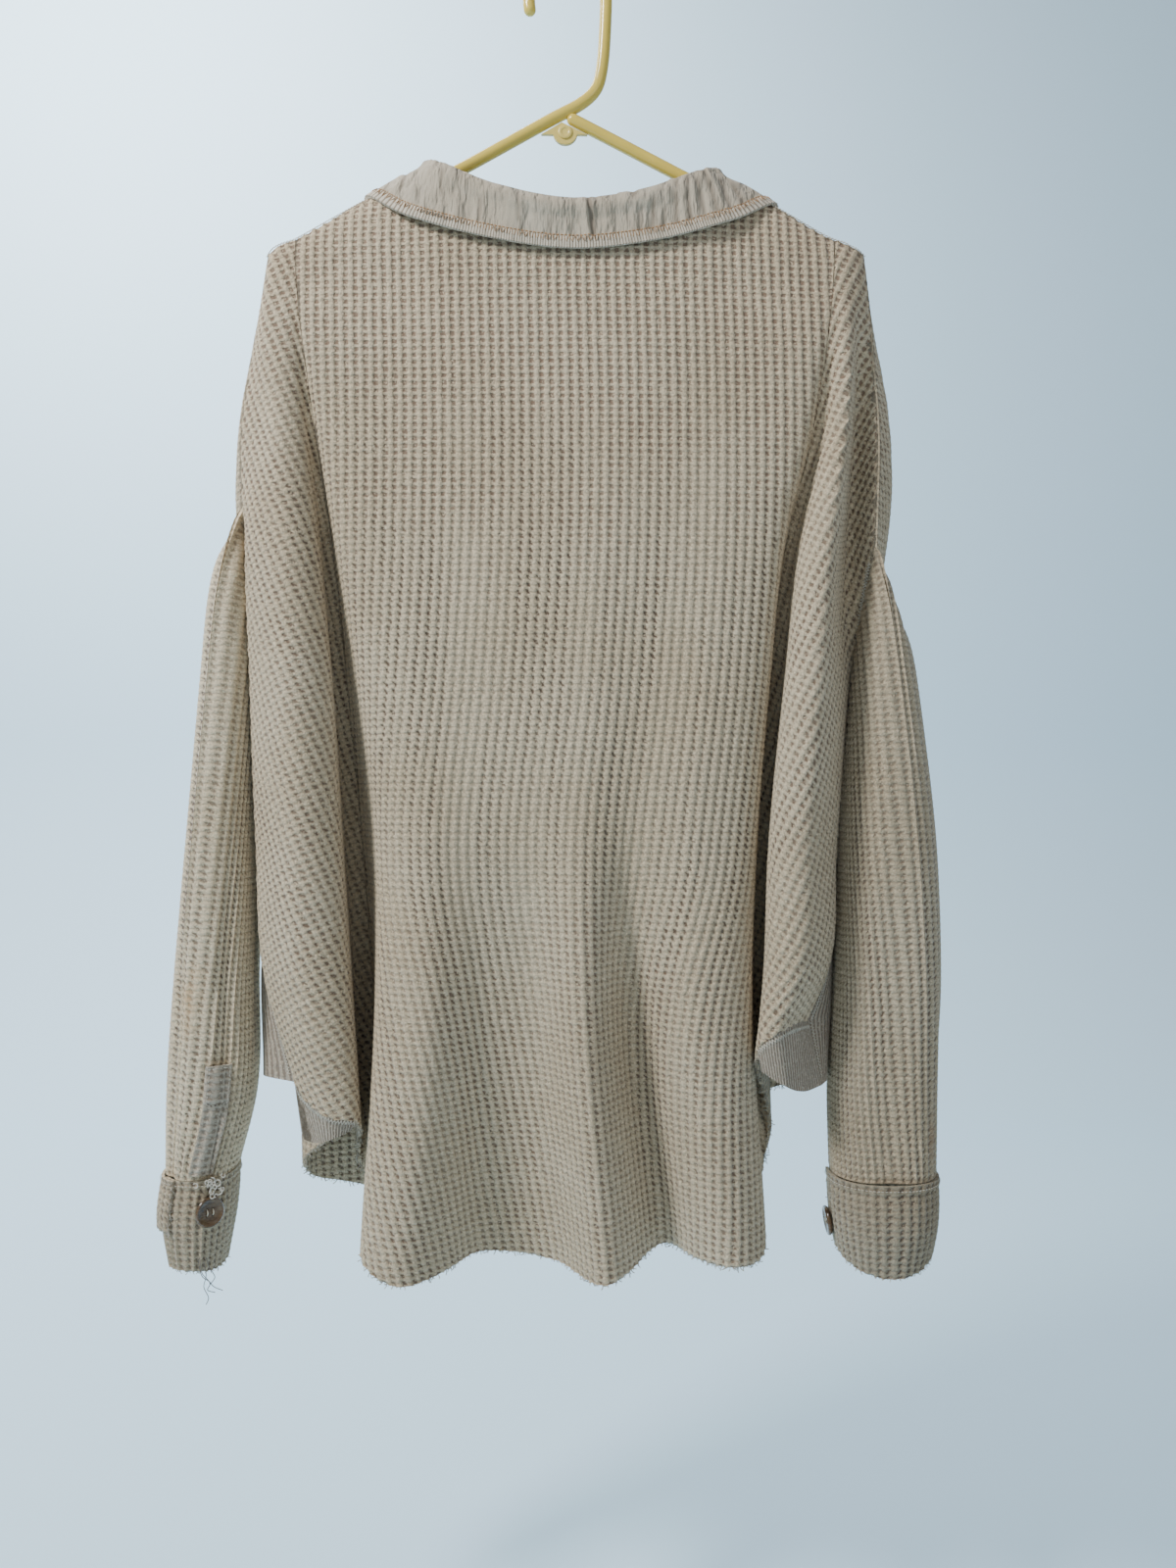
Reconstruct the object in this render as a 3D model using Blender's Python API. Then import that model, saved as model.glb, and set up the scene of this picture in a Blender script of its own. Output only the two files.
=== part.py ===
"""A waffle-knit shirt jacket hanging on a tubular hanger, seen from its back along +Y.

The origin is the inner top of the hanger's hook. X runs to the viewer's right, Y away from the viewer, from the
jacket's back to its front, and Z up. The tables are in millimetres; MM turns them into metres.

The cloth is one ring round the body, drawn through lines that run down its folds. Each panel is the stretch of
the ring between two lines, and each wall is that surface moved out and in by half the cloth's thickness.
"""
import bpy
import numpy as np
from math import acos, cos, pi, sin, tan

MM = 0.001

CLOTH = 2.0              # thickness of the waffle knit
RIB = 1.6                # thickness of the fine rib and of the collar cloth
SEAM_GAP = 0.56          # between two pieces at a seam
CORNER_GAP = 1.5         # how many times as far the pieces' corners stand back
TUBE_RADIUS = 4.3        # the hanger's tube
BUTTON_RADIUS = 10.5
BUTTON_THICKNESS = 3.2

SHOULDER_END = -230.0    # height by which the cloth has rounded over the hanger's arm
FAN_TOP_END = -290.0     # the rows fan out from the shoulder and neck down to here
FAN_HEM_START = -710.0   # and from here down to the hem
ROW_STEP = 30.0          # between the level rows in the middle
HEM_ROWS = 6
TOP_FRACTIONS = (0.0, 0.04, 0.13, 0.33, 0.66, 1.0)
LEFT_TOP, RIGHT_TOP, UNDERARM = -380.0, -410.0, -620.0   # the armholes' top points, and both underarms

# The shoulder seam beyond the hanger's tips, down to the top of each armhole: x, y, z
SEAM_LEFT = ((-210, 0, -203), (-214, 0, -230), (-221, -1, -275), (-228, -2, -320), (-229, 2, -380))
SEAM_RIGHT = ((208, 0, -203), (211, -1, -230), (214, -3, -275), (217, -6, -320), (215, -9, -410))

# Armhole and gusset edges. Each starts where the one above ends.
ARMHOLE_BACK_LEFT = ((-229, 2, -380), (-226, 10, -410), (-216, 25, -500), (-217, 20, -620))
ARMHOLE_FRONT_LEFT = ((-229, 2, -380), (-243, 18, -410), (-247, 34, -440), (-242, 47, -490),
                      (-228, 50, -560), (-212, 44, -620))
ARMHOLE_BACK_RIGHT = ((215, -9, -410), (209, 6, -450), (203, 20, -500), (196, 20, -560), (190, 16, -620))
ARMHOLE_FRONT_RIGHT = ((215, -9, -410), (225, 6, -440), (231, 27, -475), (228, 45, -520),
                       (213, 50, -560), (187, 44, -620))
SIDE_BACK_LEFT = ((-217, 20, -620), (-215, 17, -665), (-213, 12, -710), (-191, -6, -777))
SIDE_FRONT_LEFT = ((-212, 44, -620), (-211, 44, -710), (-204, 40, -770), (-160, -4, -818))
SIDE_BACK_RIGHT = ((190, 16, -620), (187, 13, -665), (183, 8, -710), (168, -2, -741))
SIDE_FRONT_RIGHT = ((187, 44, -620), (184, 42, -710), (181, 36, -790))

# The back, a row for each fold line: name, columns up to the next line, and its points from the top to the hem
BACK_FOLDS = (
    ("left seam", 2, (SEAM_LEFT, ARMHOLE_BACK_LEFT, SIDE_BACK_LEFT)),
    ("left side", 2, (((-205, 0, -199), (-207, -12, -230), (-212, -14, -320), (-222, -10, -410),
                       (-222, -2, -500), (-219, 4, -620), (-212, 0, -710), (-184, -14, -789)),)),
    ("left lobe", 2, (((-200, 0, -196), (-199, -13, -230), (-198, -23, -320), (-192, -30, -410),
                       (-188, -34, -500), (-183, -36, -620), (-178, -35, -710), (-160, -31, -802)),)),
    ("left lobe edge", 2, (((-197, 0, -195), (-193, -14, -230), (-185, -18, -320), (-175, -19, -410),
                            (-166, -20, -500), (-159, -22, -620), (-153, -23, -710), (-145, -26, -806)),)),
    ("left valley", 1, (((-193, 0, -193.5), (-190, -13, -230), (-181, -11, -320), (-173, 2, -410),
                         (-169, 17, -500), (-162, 30, -620), (-157, 34, -710), (-152, 32, -850)),)),
    ("left valley end", 2, (((-190, 0, -192.5), (-187, -13.5, -230), (-176, -11, -320), (-165, 2, -410),
                             (-158, 17, -500), (-149, 31, -620), (-143, 35, -710), (-141, 30, -876)),)),
    ("left edge", 3, (((-185, 0, -190), (-182, -15, -230), (-168, -20, -320), (-154, -21, -410),
                       (-139, -19, -500), (-125, -21, -620), (-126, -24, -710), (-138, -30, -901)),)),
    ("first crest", 2, (((-106, 0, -149.5), (-108, -20, -230), (-112, -26, -320), (-112, -29, -410),
                         (-108, -31, -500), (-97, -34, -620), (-95, -38, -710), (-114, -42, -912)),)),
    ("neck left", 2, (((-97, -10, -158.5), (-92, -22, -230), (-90, -27, -320), (-88, -29.5, -410),
                       (-85, -31, -500), (-80, -32, -620), (-76, -28, -710), (-86, -22, -910)),)),
    ("first dip", 2, (((-58, -17, -180), (-58, -24, -230), (-60, -28, -320), (-62, -30, -410),
                       (-66, -31, -500), (-64, -29, -620), (-58, -18, -710), (-62, 8, -906)),)),
    ("first dip end", 3, (((-16, -22, -192), (-17, -25, -230), (-19, -29, -320), (-21, -32, -410),
                           (-24, -32, -500), (-27, -30, -620), (-25, -17, -710), (-10, 6, -911)),)),
    ("second crest", 3, (((24, -22, -193), (25, -25, -230), (27, -30, -320), (26, -33, -410),
                          (21, -34, -500), (10, -36, -620), (11, -42, -710), (27, -42, -911)),)),
    ("second dip", 2, (((62, -18, -184), (64, -24, -230), (64, -28, -320), (60, -30, -410),
                        (54, -30, -500), (43, -25, -620), (43, -8, -710), (68, 10, -901)),)),
    ("neck right", 2, (((103, -10, -165), (96, -22, -230), (94, -26, -320), (88, -29, -410),
                        (80, -30, -500), (68, -29, -620), (66, -24, -710), (92, -26, -900)),)),
    ("third crest", 3, (((112, 0, -154.5), (114, -20, -230), (114, -25, -320), (109, -28, -410),
                         (101, -30, -500), (89, -31, -620), (87, -35, -710), (112, -40, -900)),)),
    ("right edge", 2, (((182, 0, -191), (178, -14, -230), (166, -19, -320), (146, -18, -410),
                        (137, -16, -500), (128, -14, -620), (124, -17, -710), (133, -24, -899)),)),
    ("right valley", 1, (((187, 0, -193), (184, -13.5, -230), (172, -10, -320), (153, 4, -410),
                          (144, 16, -500), (134, 27, -620), (132, 32, -710), (139, 30, -865)),)),
    ("right valley end", 2, (((190, 0, -194), (188, -13, -230), (179, -9, -320), (161, 4, -410),
                              (154, 16, -500), (145, 27, -620), (143, 32, -710), (147, 29, -825)),)),
    ("right lobe edge", 2, (((193, 0, -195), (192, -14, -230), (185, -19, -320), (165, -22, -410),
                             (154, -26, -500), (142, -29, -620), (138, -29, -710), (131, -27, -757)),)),
    ("right lobe", 2, (((197, 0, -197), (196, -12, -230), (192, -22, -320), (179, -31, -410),
                        (170, -36, -500), (160, -38, -620), (155, -36, -710), (143, -33, -744)),)),
    ("right crease", 2, (((202, 0, -199), (203, -9, -230), (204, -1, -280), (204, 6, -320), (200, 12, -410),
                          (195, 4, -500), (187, -2, -620), (178, -6, -710), (160, -12, -740)),)),
    ("right seam", 0, (SEAM_RIGHT, ARMHOLE_BACK_RIGHT, SIDE_BACK_RIGHT)),
)

# The fronts, each from its side seam to the centre. The first lines meet the back's along the shoulder.
FRONT_LEFT_FOLDS = (
    ("seam", 2, (SEAM_LEFT, ARMHOLE_FRONT_LEFT, SIDE_FRONT_LEFT)),
    ("side", 2, (((-205, 0, -199), (-214, 12, -230), (-233, 16, -320), (-238, 26, -380), (-232, 42, -440),
                  (-220, 55, -500), (-204, 54, -620), (-202, 53, -710), (-190, 24, -846)),)),
    ("corner", 2, (((-200, 0, -196), (-210, 15, -230), (-226, 30, -320), (-226, 54, -410),
                    (-206, 66, -500), (-192, 62, -620), (-192, 62, -710), (-188, 50, -866)),)),
    ("outer dip", 2, (((-197, 0, -195), (-200, 17, -230), (-208, 38, -320), (-202, 56, -410),
                       (-188, 62, -500), (-178, 62, -620), (-176, 62, -710), (-172, 60, -872)),)),
    ("outer crest", 3, (((-193, 0, -193.5), (-186, 19, -230), (-186, 40, -320), (-178, 56, -410),
                         (-166, 66, -500), (-158, 68, -620), (-156, 68, -710), (-150, 66, -878)),)),
    ("dip", 3, (((-185, 0, -190), (-158, 21, -230), (-152, 40, -320), (-142, 52, -410),
                 (-134, 58, -500), (-126, 60, -620), (-124, 60, -710), (-120, 58, -884)),)),
    ("neck point", 2, (((-106, 0, -149.5), (-112, 25, -230), (-112, 42, -320), (-106, 56, -410),
                        (-100, 64, -500), (-96, 67, -620), (-94, 67, -710), (-90, 65, -887)),)),
    ("neck side", 2, (((-97, 10, -160), (-94, 28, -230), (-92, 43, -320), (-84, 56, -410),
                       (-78, 63, -500), (-74, 66, -620), (-72, 66, -710), (-70, 64, -888)),)),
    ("neck", 2, (((-74, 28, -212), (-73, 32, -230), (-70, 44, -320), (-62, 54, -410),
                  (-56, 60, -500), (-52, 61, -620), (-50, 60, -710), (-48, 58, -888)),)),
    ("centre dip", 2, (((-34, 38, -250), (-33, 46, -320), (-28, 54, -410),
                        (-24, 60, -500), (-22, 63, -620), (-20, 63, -710), (-18, 62, -888)),)),
    ("centre", 0, (((14.8, 40, -258), (14.8, 47, -320), (14.8, 54, -410),
                    (14.8, 59, -500), (14.8, 61, -620), (14.8, 61, -710), (14.8, 60, -886)),)),
)
FRONT_RIGHT_FOLDS = (
    ("seam", 2, (SEAM_RIGHT, ARMHOLE_FRONT_RIGHT, SIDE_FRONT_RIGHT)),
    ("side", 2, (((202, 0, -199), (211, 12, -230), (229, 16, -320), (231, 22, -380), (224, 38, -440),
                  (212, 52, -500), (180, 53, -620), (176, 52, -710), (177, 48, -795)),)),
    ("corner", 2, (((197, 0, -197), (208, 14, -230), (222, 30, -320), (219, 50, -410),
                    (199, 66, -500), (170, 62, -620), (166, 62, -710), (168, 60, -799)),)),
    ("outer dip", 2, (((193, 0, -195), (199, 17, -230), (206, 38, -320), (200, 56, -410),
                       (182, 62, -500), (158, 62, -620), (154, 62, -710), (156, 62, -802)),)),
    ("outer crest", 3, (((190, 0, -194), (188, 19, -230), (186, 40, -320), (178, 56, -410),
                         (163, 66, -500), (144, 68, -620), (140, 68, -710), (140, 66, -812)),)),
    ("dip", 3, (((182, 0, -191), (162, 21, -230), (154, 40, -320), (144, 52, -410),
                 (132, 58, -500), (120, 60, -620), (118, 60, -710), (116, 58, -850)),)),
    ("neck point", 2, (((112, 0, -154.5), (118, 24, -230), (118, 42, -320), (112, 56, -410),
                        (106, 64, -500), (100, 67, -620), (98, 67, -710), (97, 65, -872)),)),
    ("neck side", 2, (((103, 10, -165), (100, 28, -230), (98, 43, -320), (92, 56, -410),
                       (86, 63, -500), (80, 66, -620), (78, 66, -710), (76, 64, -880)),)),
    ("neck", 2, (((82, 28, -214), (82, 32, -230), (80, 44, -320), (74, 54, -410),
                  (68, 60, -500), (64, 61, -620), (62, 60, -710), (60, 58, -884)),)),
    ("centre dip", 2, (((46, 38, -250), (46, 46, -320), (44, 54, -410),
                        (40, 60, -500), (38, 63, -620), (37, 63, -710), (36, 62, -887)),)),
    ("centre", 0, (((15.2, 40, -258), (15.2, 47, -320), (15.2, 54, -410),
                    (15.2, 59, -500), (15.2, 61, -620), (15.2, 61, -710), (15.2, 60, -886)),)),
)

# The gussets' middle line, and the godets' hem points under the lobe's lines: x, y, z
GUSSET_MIDDLE_LEFT = ((-216, 32, -620), (-219, 30, -665), (-221, 26, -710), (-217, 16, -783))
GUSSET_MIDDLE_RIGHT = ((190, 30, -620), (190, 28, -665), (190, 24, -710), (184, 12, -778))
GODET_HEM_LEFT = ((-184, -9, -822), (-175, -15, -823), (-160, -29, -817), (-147, -26, -811))
GODET_RIGHT_START = 2    # the right godet starts this many columns in from the lobe's edge
GODET_ROWS = 3
GUSSET_MEETS_LEFT, GUSSET_MEETS_RIGHT = 1, 3          # rows of each godet's side that the gusset meets
GODET_HEM_RIGHT = ((133, -28, -771), (148, -31, -780), (163, -18, -787), (177, -8, -785))

# The sleeves' sections: height, outer x, inner x, near y, far y
SLEEVE_LEFT = ((-380, -250, -208, -4, 54), (-440, -256, -221, -10, 60), (-500, -261, -224, -12, 62),
               (-620, -272, -226, -13, 62), (-710, -280, -227, -14, 62), (-800, -285, -228, -14, 58),
               (-850, -285, -240, -13, 54))
SLEEVE_RIGHT = ((-410, 238, 200, -14, 54), (-440, 241, 203, -15, 58), (-500, 248, 203, -17, 60),
                (-620, 262, 196, -18, 62), (-710, 265, 193, -18, 62), (-800, 263, 189, -17, 58),
                (-852, 262, 190, -16, 54))
SQUARENESS = 0.85        # 1 is an ellipse, less is squarer
SLEEVE_END_LEFT, SLEEVE_END_RIGHT = -850.0, -852.0
SLEEVE_ROWS = 12
SLEEVE_CLEARANCE = 2.6   # from the body's middle surface to the sleeve's
SLEEVE_REACH = 12.0      # how near the body a point of the sleeve has to be to be moved clear of it
SEAM_EASE = 14.0         # height over which the sleeve leaves the armhole's line for its own section
BACK_SPLIT, FRONT_SPLIT = (2, 2), (5, 2)     # finer steps on the first two rows below the armhole's top

# The cuffs: height, outer x, inner x, near y, far y
CUFF_LEFT = ((-850.4, -286, -239, -14, 55), (-880, -289, -241, -16, 54), (-912, -284, -246, -12, 46))
CUFF_RIGHT = ((-852.4, 263, 189, -17, 55), (-885, 262, 191, -18, 54), (-918, 256, 197, -12, 46))
CUFF_START_LEFT, CUFF_START_RIGHT = 0.22 * pi, 0.90 * pi      # where the cuff's inner end lies round the wrist
CUFF_LAP, CUFF_LAP_GAP = 0.16 * pi, 0.7
CUFF_COLUMNS, CUFF_ROWS = 28, 3

# The cuffs' raw hems: turn from the inner end in half turns, height
CUFF_HEM_LEFT = ((0.0, -912), (1.15, -912), (1.5, -900), (1.9, -887), (2.16, -886))
CUFF_HEM_RIGHT = ((0.0, -905), (0.5, -900), (1.1, -903), (1.6, -918), (2.0, -908), (2.16, -903))
CUFF_BUTTONS = (("left", (-247, -14, -875)), ("right", (190, 19, -886)))

# The strip at each sleeve's slit, on the left one's near side and the right one's far side:
# height, left x, right x
PLACKET_LEFT = ((-770, -250, -234), (-797, -252, -236), (-846, -262, -247))
PLACKET_RIGHT = ((-770, 233, 249), (-797, 234, 250), (-848, 235, 251))
LAID_GAP = 0.5           # under a strip or band that lies on the cloth

# The collar: seam with the neck, fold and free edge of the fall, each x, y, z
COLLAR = (
    ("left point", (-16, 38, -250), (-15, 44, -240), (-44, 54, -322), (0.0, 1.0)),
    ("left front", (-62, 33, -222), (-60, 38, -211), (-98, 45, -268), (-0.3, 0.95)),
    ("left front shoulder", (-95.5, 10, -159), (-90, 11, -148), (-136, 22, -190), (-0.8, 0.6)),
    ("left shoulder", (-104.5, 1, -148.6), (-99, 2, -138.5), (-142, 0, -163), (-1.0, 0.0)),
    ("left back", (-96, -9.5, -157.8), (-91, -10, -142), (-112, -23, -184), (-0.55, -0.84)),
    ("left back slope", (-55, -17.5, -180), (-52, -20, -162), (-58, -29, -201), (-0.1, -1.0)),
    ("centre back", (4, -22.5, -193), (4, -25, -175), (4, -30, -210), (0.0, -1.0)),
    ("right back slope", (56, -19, -185.5), (52, -21, -167), (64, -28.5, -203), (0.1, -1.0)),
    ("right back", (102, -9.5, -164.3), (96, -10, -147.5), (116, -23, -187), (0.55, -0.84)),
    ("right shoulder", (110.5, 1, -153.6), (105, 2, -143.5), (147, 0, -169), (1.0, 0.0)),
    ("right front shoulder", (101.5, 10, -164), (97, 11, -153), (143, 22, -195), (0.8, 0.6)),
    ("right front", (70, 33, -223), (68, 38, -212), (106, 45, -269), (0.3, 0.95)),
    ("right point", (46, 38, -249.5), (45, 44, -239), (74, 54, -322), (0.0, 1.0)),
)
# The collar's rows from its fold on: share of the way to the free edge, distance outward and down
COLLAR_ROLL = ((0.0, -0.5, 2.6), (0.0, 2.2, 0.0), (0.0, 5.0, 3.2), (0.45, 2.2, 0.0), (1.0, 0.0, 0.0))
COLLAR_CLEARANCE = 3.2
NECK_STEEP = -172.0      # the collar has more columns above this height
NECK_GAP, FRONT_NECK_GAP = 1.0, 1.8      # between the neckline and the collar's seam edge

BAND_LEFT, BAND_RIGHT, BAND_COLUMNS = -14.0, 22.0, 3          # the button band's edges in x
FRONT_BUTTONS, FIRST_BUTTON, BUTTON_SPACING = 6, -292.0, 105.0
CUFF_BUTTON_GAP, BUTTON_GAP = 1.2, 0.4   # under a button, from the cloth's face

# The hanger's path, x and z, in the plane y = 0
HOOK_RADIUS, HOOK_CENTRE = 27.3, -23.0
HOOK_FROM, HOOK_TO = 1.08 * pi, -0.02 * pi
STEM = ((26.5, -45), (24.5, -70), (20.5, -86), (9, -96.5))
ARM_LEFT = ((-5.5, -104), (-40, -123), (-74.5, -142), (-141, -176), (-184, -198), (-197, -204.5))
ARM_RIGHT = ((3.9, -107.3), (40, -126), (80, -147), (146, -180.5), (178, -196.5), (191, -203))
BAR = ((-197.5, -204.75, 0), (-202.27, -207.13, 5), (-202.27, -222, 7), (196.37, -222, 7),
       (196.37, -205.69, 5), (191.6, -203.3, 0))     # its corners, with their radii
WEB_TOP = ((-18.6, -118.0), (-4.0, -109.4), (14.2, -118.4))
BOSS_CENTRE, BOSS_RADIUS, WEB_THICKNESS = (-1.5, -116.5), 8.7, 3.0
BOSS_FROM, BOSS_TO = 0.13 * pi, -1.13 * pi


def material(name, colour, roughness, metallic=0.0):
    mat = bpy.data.materials.new(name)
    mat.use_nodes = True
    shader = mat.node_tree.nodes["Principled BSDF"]
    shader.inputs["Base Color"].default_value = (*colour, 1)
    shader.inputs["Roughness"].default_value = roughness
    shader.inputs["Metallic"].default_value = metallic
    return mat


def mesh_object(name, verts, faces, mat, smooth=True):
    """A closed mesh from points in millimetres."""
    mesh = bpy.data.meshes.new(name)
    mesh.from_pydata([tuple(MM * c for c in v) for v in verts], [], faces)
    mesh.materials.append(mat)
    if smooth:
        mesh.shade_smooth()
        mesh.set_sharp_from_angle(angle=0.9)
    obj = bpy.data.objects.new(name, mesh)
    bpy.context.collection.objects.link(obj)
    return obj


def unit(v):
    return v / np.maximum(np.linalg.norm(v, axis=-1, keepdims=True), 1e-9)


def hermite(knots, values, at):
    """A smooth curve through values at rising knots, with tangents from the neighbours on each side."""
    knots, values, at = np.asarray(knots, float), np.asarray(values, float), np.atleast_1d(at).astype(float)
    slopes = np.diff(values, axis=0) / np.diff(knots)[:, None]
    steps = np.diff(knots)
    tangents = np.empty_like(values)
    tangents[0], tangents[-1] = slopes[0], slopes[-1]
    weighted = slopes[:-1] * steps[1:, None] + slopes[1:] * steps[:-1, None]
    tangents[1:-1] = weighted / (steps[:-1] + steps[1:])[:, None]
    span = np.clip(np.searchsorted(knots, at, side="right") - 1, 0, len(knots) - 2)
    width = steps[span][:, None]
    t = ((at - knots[span]) / steps[span])[:, None]
    return ((1 + 2 * t) * (1 - t) ** 2 * values[span] + t * (1 - t) ** 2 * width * tangents[span]
            + t * t * (3 - 2 * t) * values[span + 1] + t * t * (t - 1) * width * tangents[span + 1])


def down_line(points, heights):
    """Points of one fold line at the given heights; near the shoulder it rounds over the hanger's arm."""
    table = np.array(points, float)
    heights = np.clip(heights, table[-1, 2], table[0, 2])
    found = np.column_stack([hermite(-table[:, 2], table[:, :2], -heights), heights])
    top_y, top_z = table[0, 1], table[0, 2]
    if top_z > SHOULDER_END + 1:
        below = np.clip((top_z - heights) / (top_z - SHOULDER_END), 0, 1)
        round_y = top_y + (table[1, 1] - top_y) * np.sqrt(1 - (1 - below) ** 2)
        found[:, 1] = np.where(below < 1, round_y, found[:, 1])
    return found


def fold_rows(parts):
    """The rows of one fold line, whose parts follow one another down the cloth."""
    top, hem = parts[0][0][2], parts[-1][-1][2]
    level = np.arange(FAN_TOP_END - ROW_STEP, FAN_HEM_START - 1, -ROW_STEP)
    heights = np.concatenate([top + (FAN_TOP_END - top) * np.array(TOP_FRACTIONS), level,
                              FAN_HEM_START + (hem - FAN_HEM_START) * np.arange(1, HEM_ROWS + 1) / HEM_ROWS])
    found = np.empty((len(heights), 3))
    for part in parts:
        inside = (heights <= part[0][2] + 1e-6) & (heights >= part[-1][2] - 1e-6)
        found[inside] = down_line(part, heights[inside])
    return found


def across(points, columns):
    """A smooth curve through one row's points, cut into the given number of columns between each two."""
    gaps = np.sqrt(np.maximum(np.linalg.norm(np.diff(points, axis=0), axis=1), 0.5))
    knots = np.concatenate([[0], np.cumsum(gaps)])
    at = [np.linspace(knots[i], knots[i + 1], columns[i], endpoint=False) for i in range(len(gaps))]
    return hermite(knots, points, np.concatenate(at + [knots[-1:]]))


def panel(folds):
    """The middle surface of a panel: rows from its top edge to its hem, columns across."""
    lines = np.array([fold_rows(parts) for _, _, parts in folds])
    columns = [count for _, count, _ in folds[:-1]]
    return np.array([across(lines[:, row], columns) for row in range(lines.shape[1])])


def grid_normals(grid, ring=False):
    """Normals of a grid whose columns run across and rows run down. With ring, the last column meets the first."""
    if ring:
        side = np.roll(grid, -1, axis=1) - np.roll(grid, 1, axis=1)
    else:
        side = np.gradient(grid, axis=1)
    return unit(np.cross(side, np.gradient(grid, axis=0)))


def row_of(height):
    """The level row at a height."""
    return len(TOP_FRACTIONS) - 1 + int(round((FAN_TOP_END - height) / ROW_STEP))


class Piece:
    """One cut piece: the grid of its middle surface, with the normals that point out of the garment."""

    def __init__(self, name, grid, mat, thickness, outward, ring=False):
        self.name, self.mat, self.thickness, self.ring = name, mat, thickness, ring
        self.grid = np.array(grid, float)
        self.normals = grid_normals(self.grid, ring) * outward
        self.flip = outward > 0
        self.seams = []

    def seam(self, rows, cols):
        """Names a stretch of the piece's edge that meets another piece."""
        self.seams.append((np.atleast_1d(rows), np.atleast_1d(cols)))


def close_seams(pieces):
    """Gives the points that meet at a seam one common normal, and moves each back by half the gap."""
    shared, moves = {}, []
    for piece in pieces:
        for r, c in sorted({(int(r), int(c)) for rows, cols in piece.seams for r in rows for c in cols}):
            key = tuple(np.round(piece.grid[r, c] * 5).astype(int))
            shared.setdefault(key, []).append((piece.normals[r, c], inward(piece, r, c, np.zeros(3))))
            moves.append((piece, r, c, key))
    common = {}
    for key, found in shared.items():
        faces, backs = (np.sum([pair[k] for pair in found], axis=0) for k in (0, 1))
        if len(found) > 1:
            faces = faces + (backs if np.dot(faces, backs) > 0.3 else -backs)
        common[key] = unit(faces)
    for piece, r, c, key in moves:
        piece.normals[r, c] = common[key]
    shifts = [(piece, r, c, inward(piece, r, c, piece.normals[r, c])) for piece, r, c, _ in moves]
    for piece, r, c, shift in shifts:
        corner = r in (0, piece.grid.shape[0] - 1) and c in (0, piece.grid.shape[1] - 1)
        piece.grid[r, c] += shift * SEAM_GAP * (CORNER_GAP if corner else 0.5)


def inward(piece, r, c, normal):
    """The direction from an edge point into its piece, square to its normal."""
    grid = piece.grid
    last_row, last_col = grid.shape[0] - 1, grid.shape[1] - 1
    on_row, on_col = r in (0, last_row), c in (0, last_col) and not piece.ring
    found = np.zeros(3)
    if on_row:
        steps = grid[1 if r == 0 else last_row - 1, c] - grid[r, c]
        before, after = ((c - 1) % (last_col + 1), (c + 1) % (last_col + 1)) if piece.ring else (
            max(c - 1, 0), min(c + 1, last_col))
        along = unit(grid[r, after] - grid[r, before])
        found += unit(steps - (0 if on_col else along * np.dot(steps, along)))
    if on_col:
        steps = grid[r, 1 if c == 0 else last_col - 1] - grid[r, c]
        along = unit(grid[min(r + 1, last_row), c] - grid[max(r - 1, 0), c])
        found += unit(steps - (0 if on_row else along * np.dot(steps, along)))
    return unit(found - normal * np.dot(found, normal))


def match_edge(strip, column, panel_piece, panel_column, first, last):
    """Turns the normals of a strip's edge and of the panel's edge beside it to one direction at each height."""
    rows = np.arange(first, last + 1)
    strip_z, panel_z = strip.grid[:, column, 2], panel_piece.grid[rows, panel_column, 2]
    strip_n, panel_n = strip.normals[:, column].copy(), panel_piece.normals[rows, panel_column].copy()

    def at(heights, known, normals):
        return np.column_stack([np.interp(-heights, -known, normals[:, k]) for k in range(3)])

    strip.normals[1:, column] = unit(strip_n + at(strip_z, panel_z, panel_n))[1:]
    inside = panel_z >= strip_z[-1] - 1
    inside[0] = False
    turned = unit(panel_n + at(panel_z, strip_z, strip_n))
    panel_piece.normals[rows[inside], panel_column] = turned[inside]


def wall(piece):
    """The closed wall of a piece: its surface moved out and in by half the thickness, and the rims between."""
    rows, cols = piece.grid.shape[:2]
    half = piece.thickness / 2
    outer = (piece.grid + piece.normals * half).reshape(-1, 3)
    inner = (piece.grid - piece.normals * half).reshape(-1, 3)
    base = rows * cols
    faces = []

    def quad(a, b, c, d):
        faces.append((d, c, b, a) if piece.flip else (a, b, c, d))

    spans = cols if piece.ring else cols - 1
    for r in range(rows - 1):
        for c in range(spans):
            a, b = r * cols + c, r * cols + (c + 1) % cols
            quad(a, a + cols, b + cols, b)
            quad(base + a, base + b, base + b + cols, base + a + cols)
    for c in range(spans):
        a, b = c, (c + 1) % cols
        quad(a, b, base + b, base + a)
        a, b = a + (rows - 1) * cols, b + (rows - 1) * cols
        quad(b, a, base + a, base + b)
    if not piece.ring:
        for r in range(rows - 1):
            a, b = r * cols, (r + 1) * cols
            quad(b, a, base + a, base + b)
            a, b = a + cols - 1, b + cols - 1
            quad(a, b, base + b, base + a)
    return mesh_object(piece.name, np.vstack([outer, inner]), faces, piece.mat)


def edge_down(piece, column, first, last):
    """Part of a panel's edge from one height down to another."""
    return piece.grid[row_of(first):row_of(last) + 1, column]


def resample(line, count):
    """Points at even steps along a run of straight lines."""
    lengths = np.concatenate([[0], np.cumsum(np.linalg.norm(np.diff(line, axis=0), axis=1))])
    at = np.linspace(0, lengths[-1], count)
    return np.column_stack([np.interp(at, lengths, line[:, k]) for k in range(3)])


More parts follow.
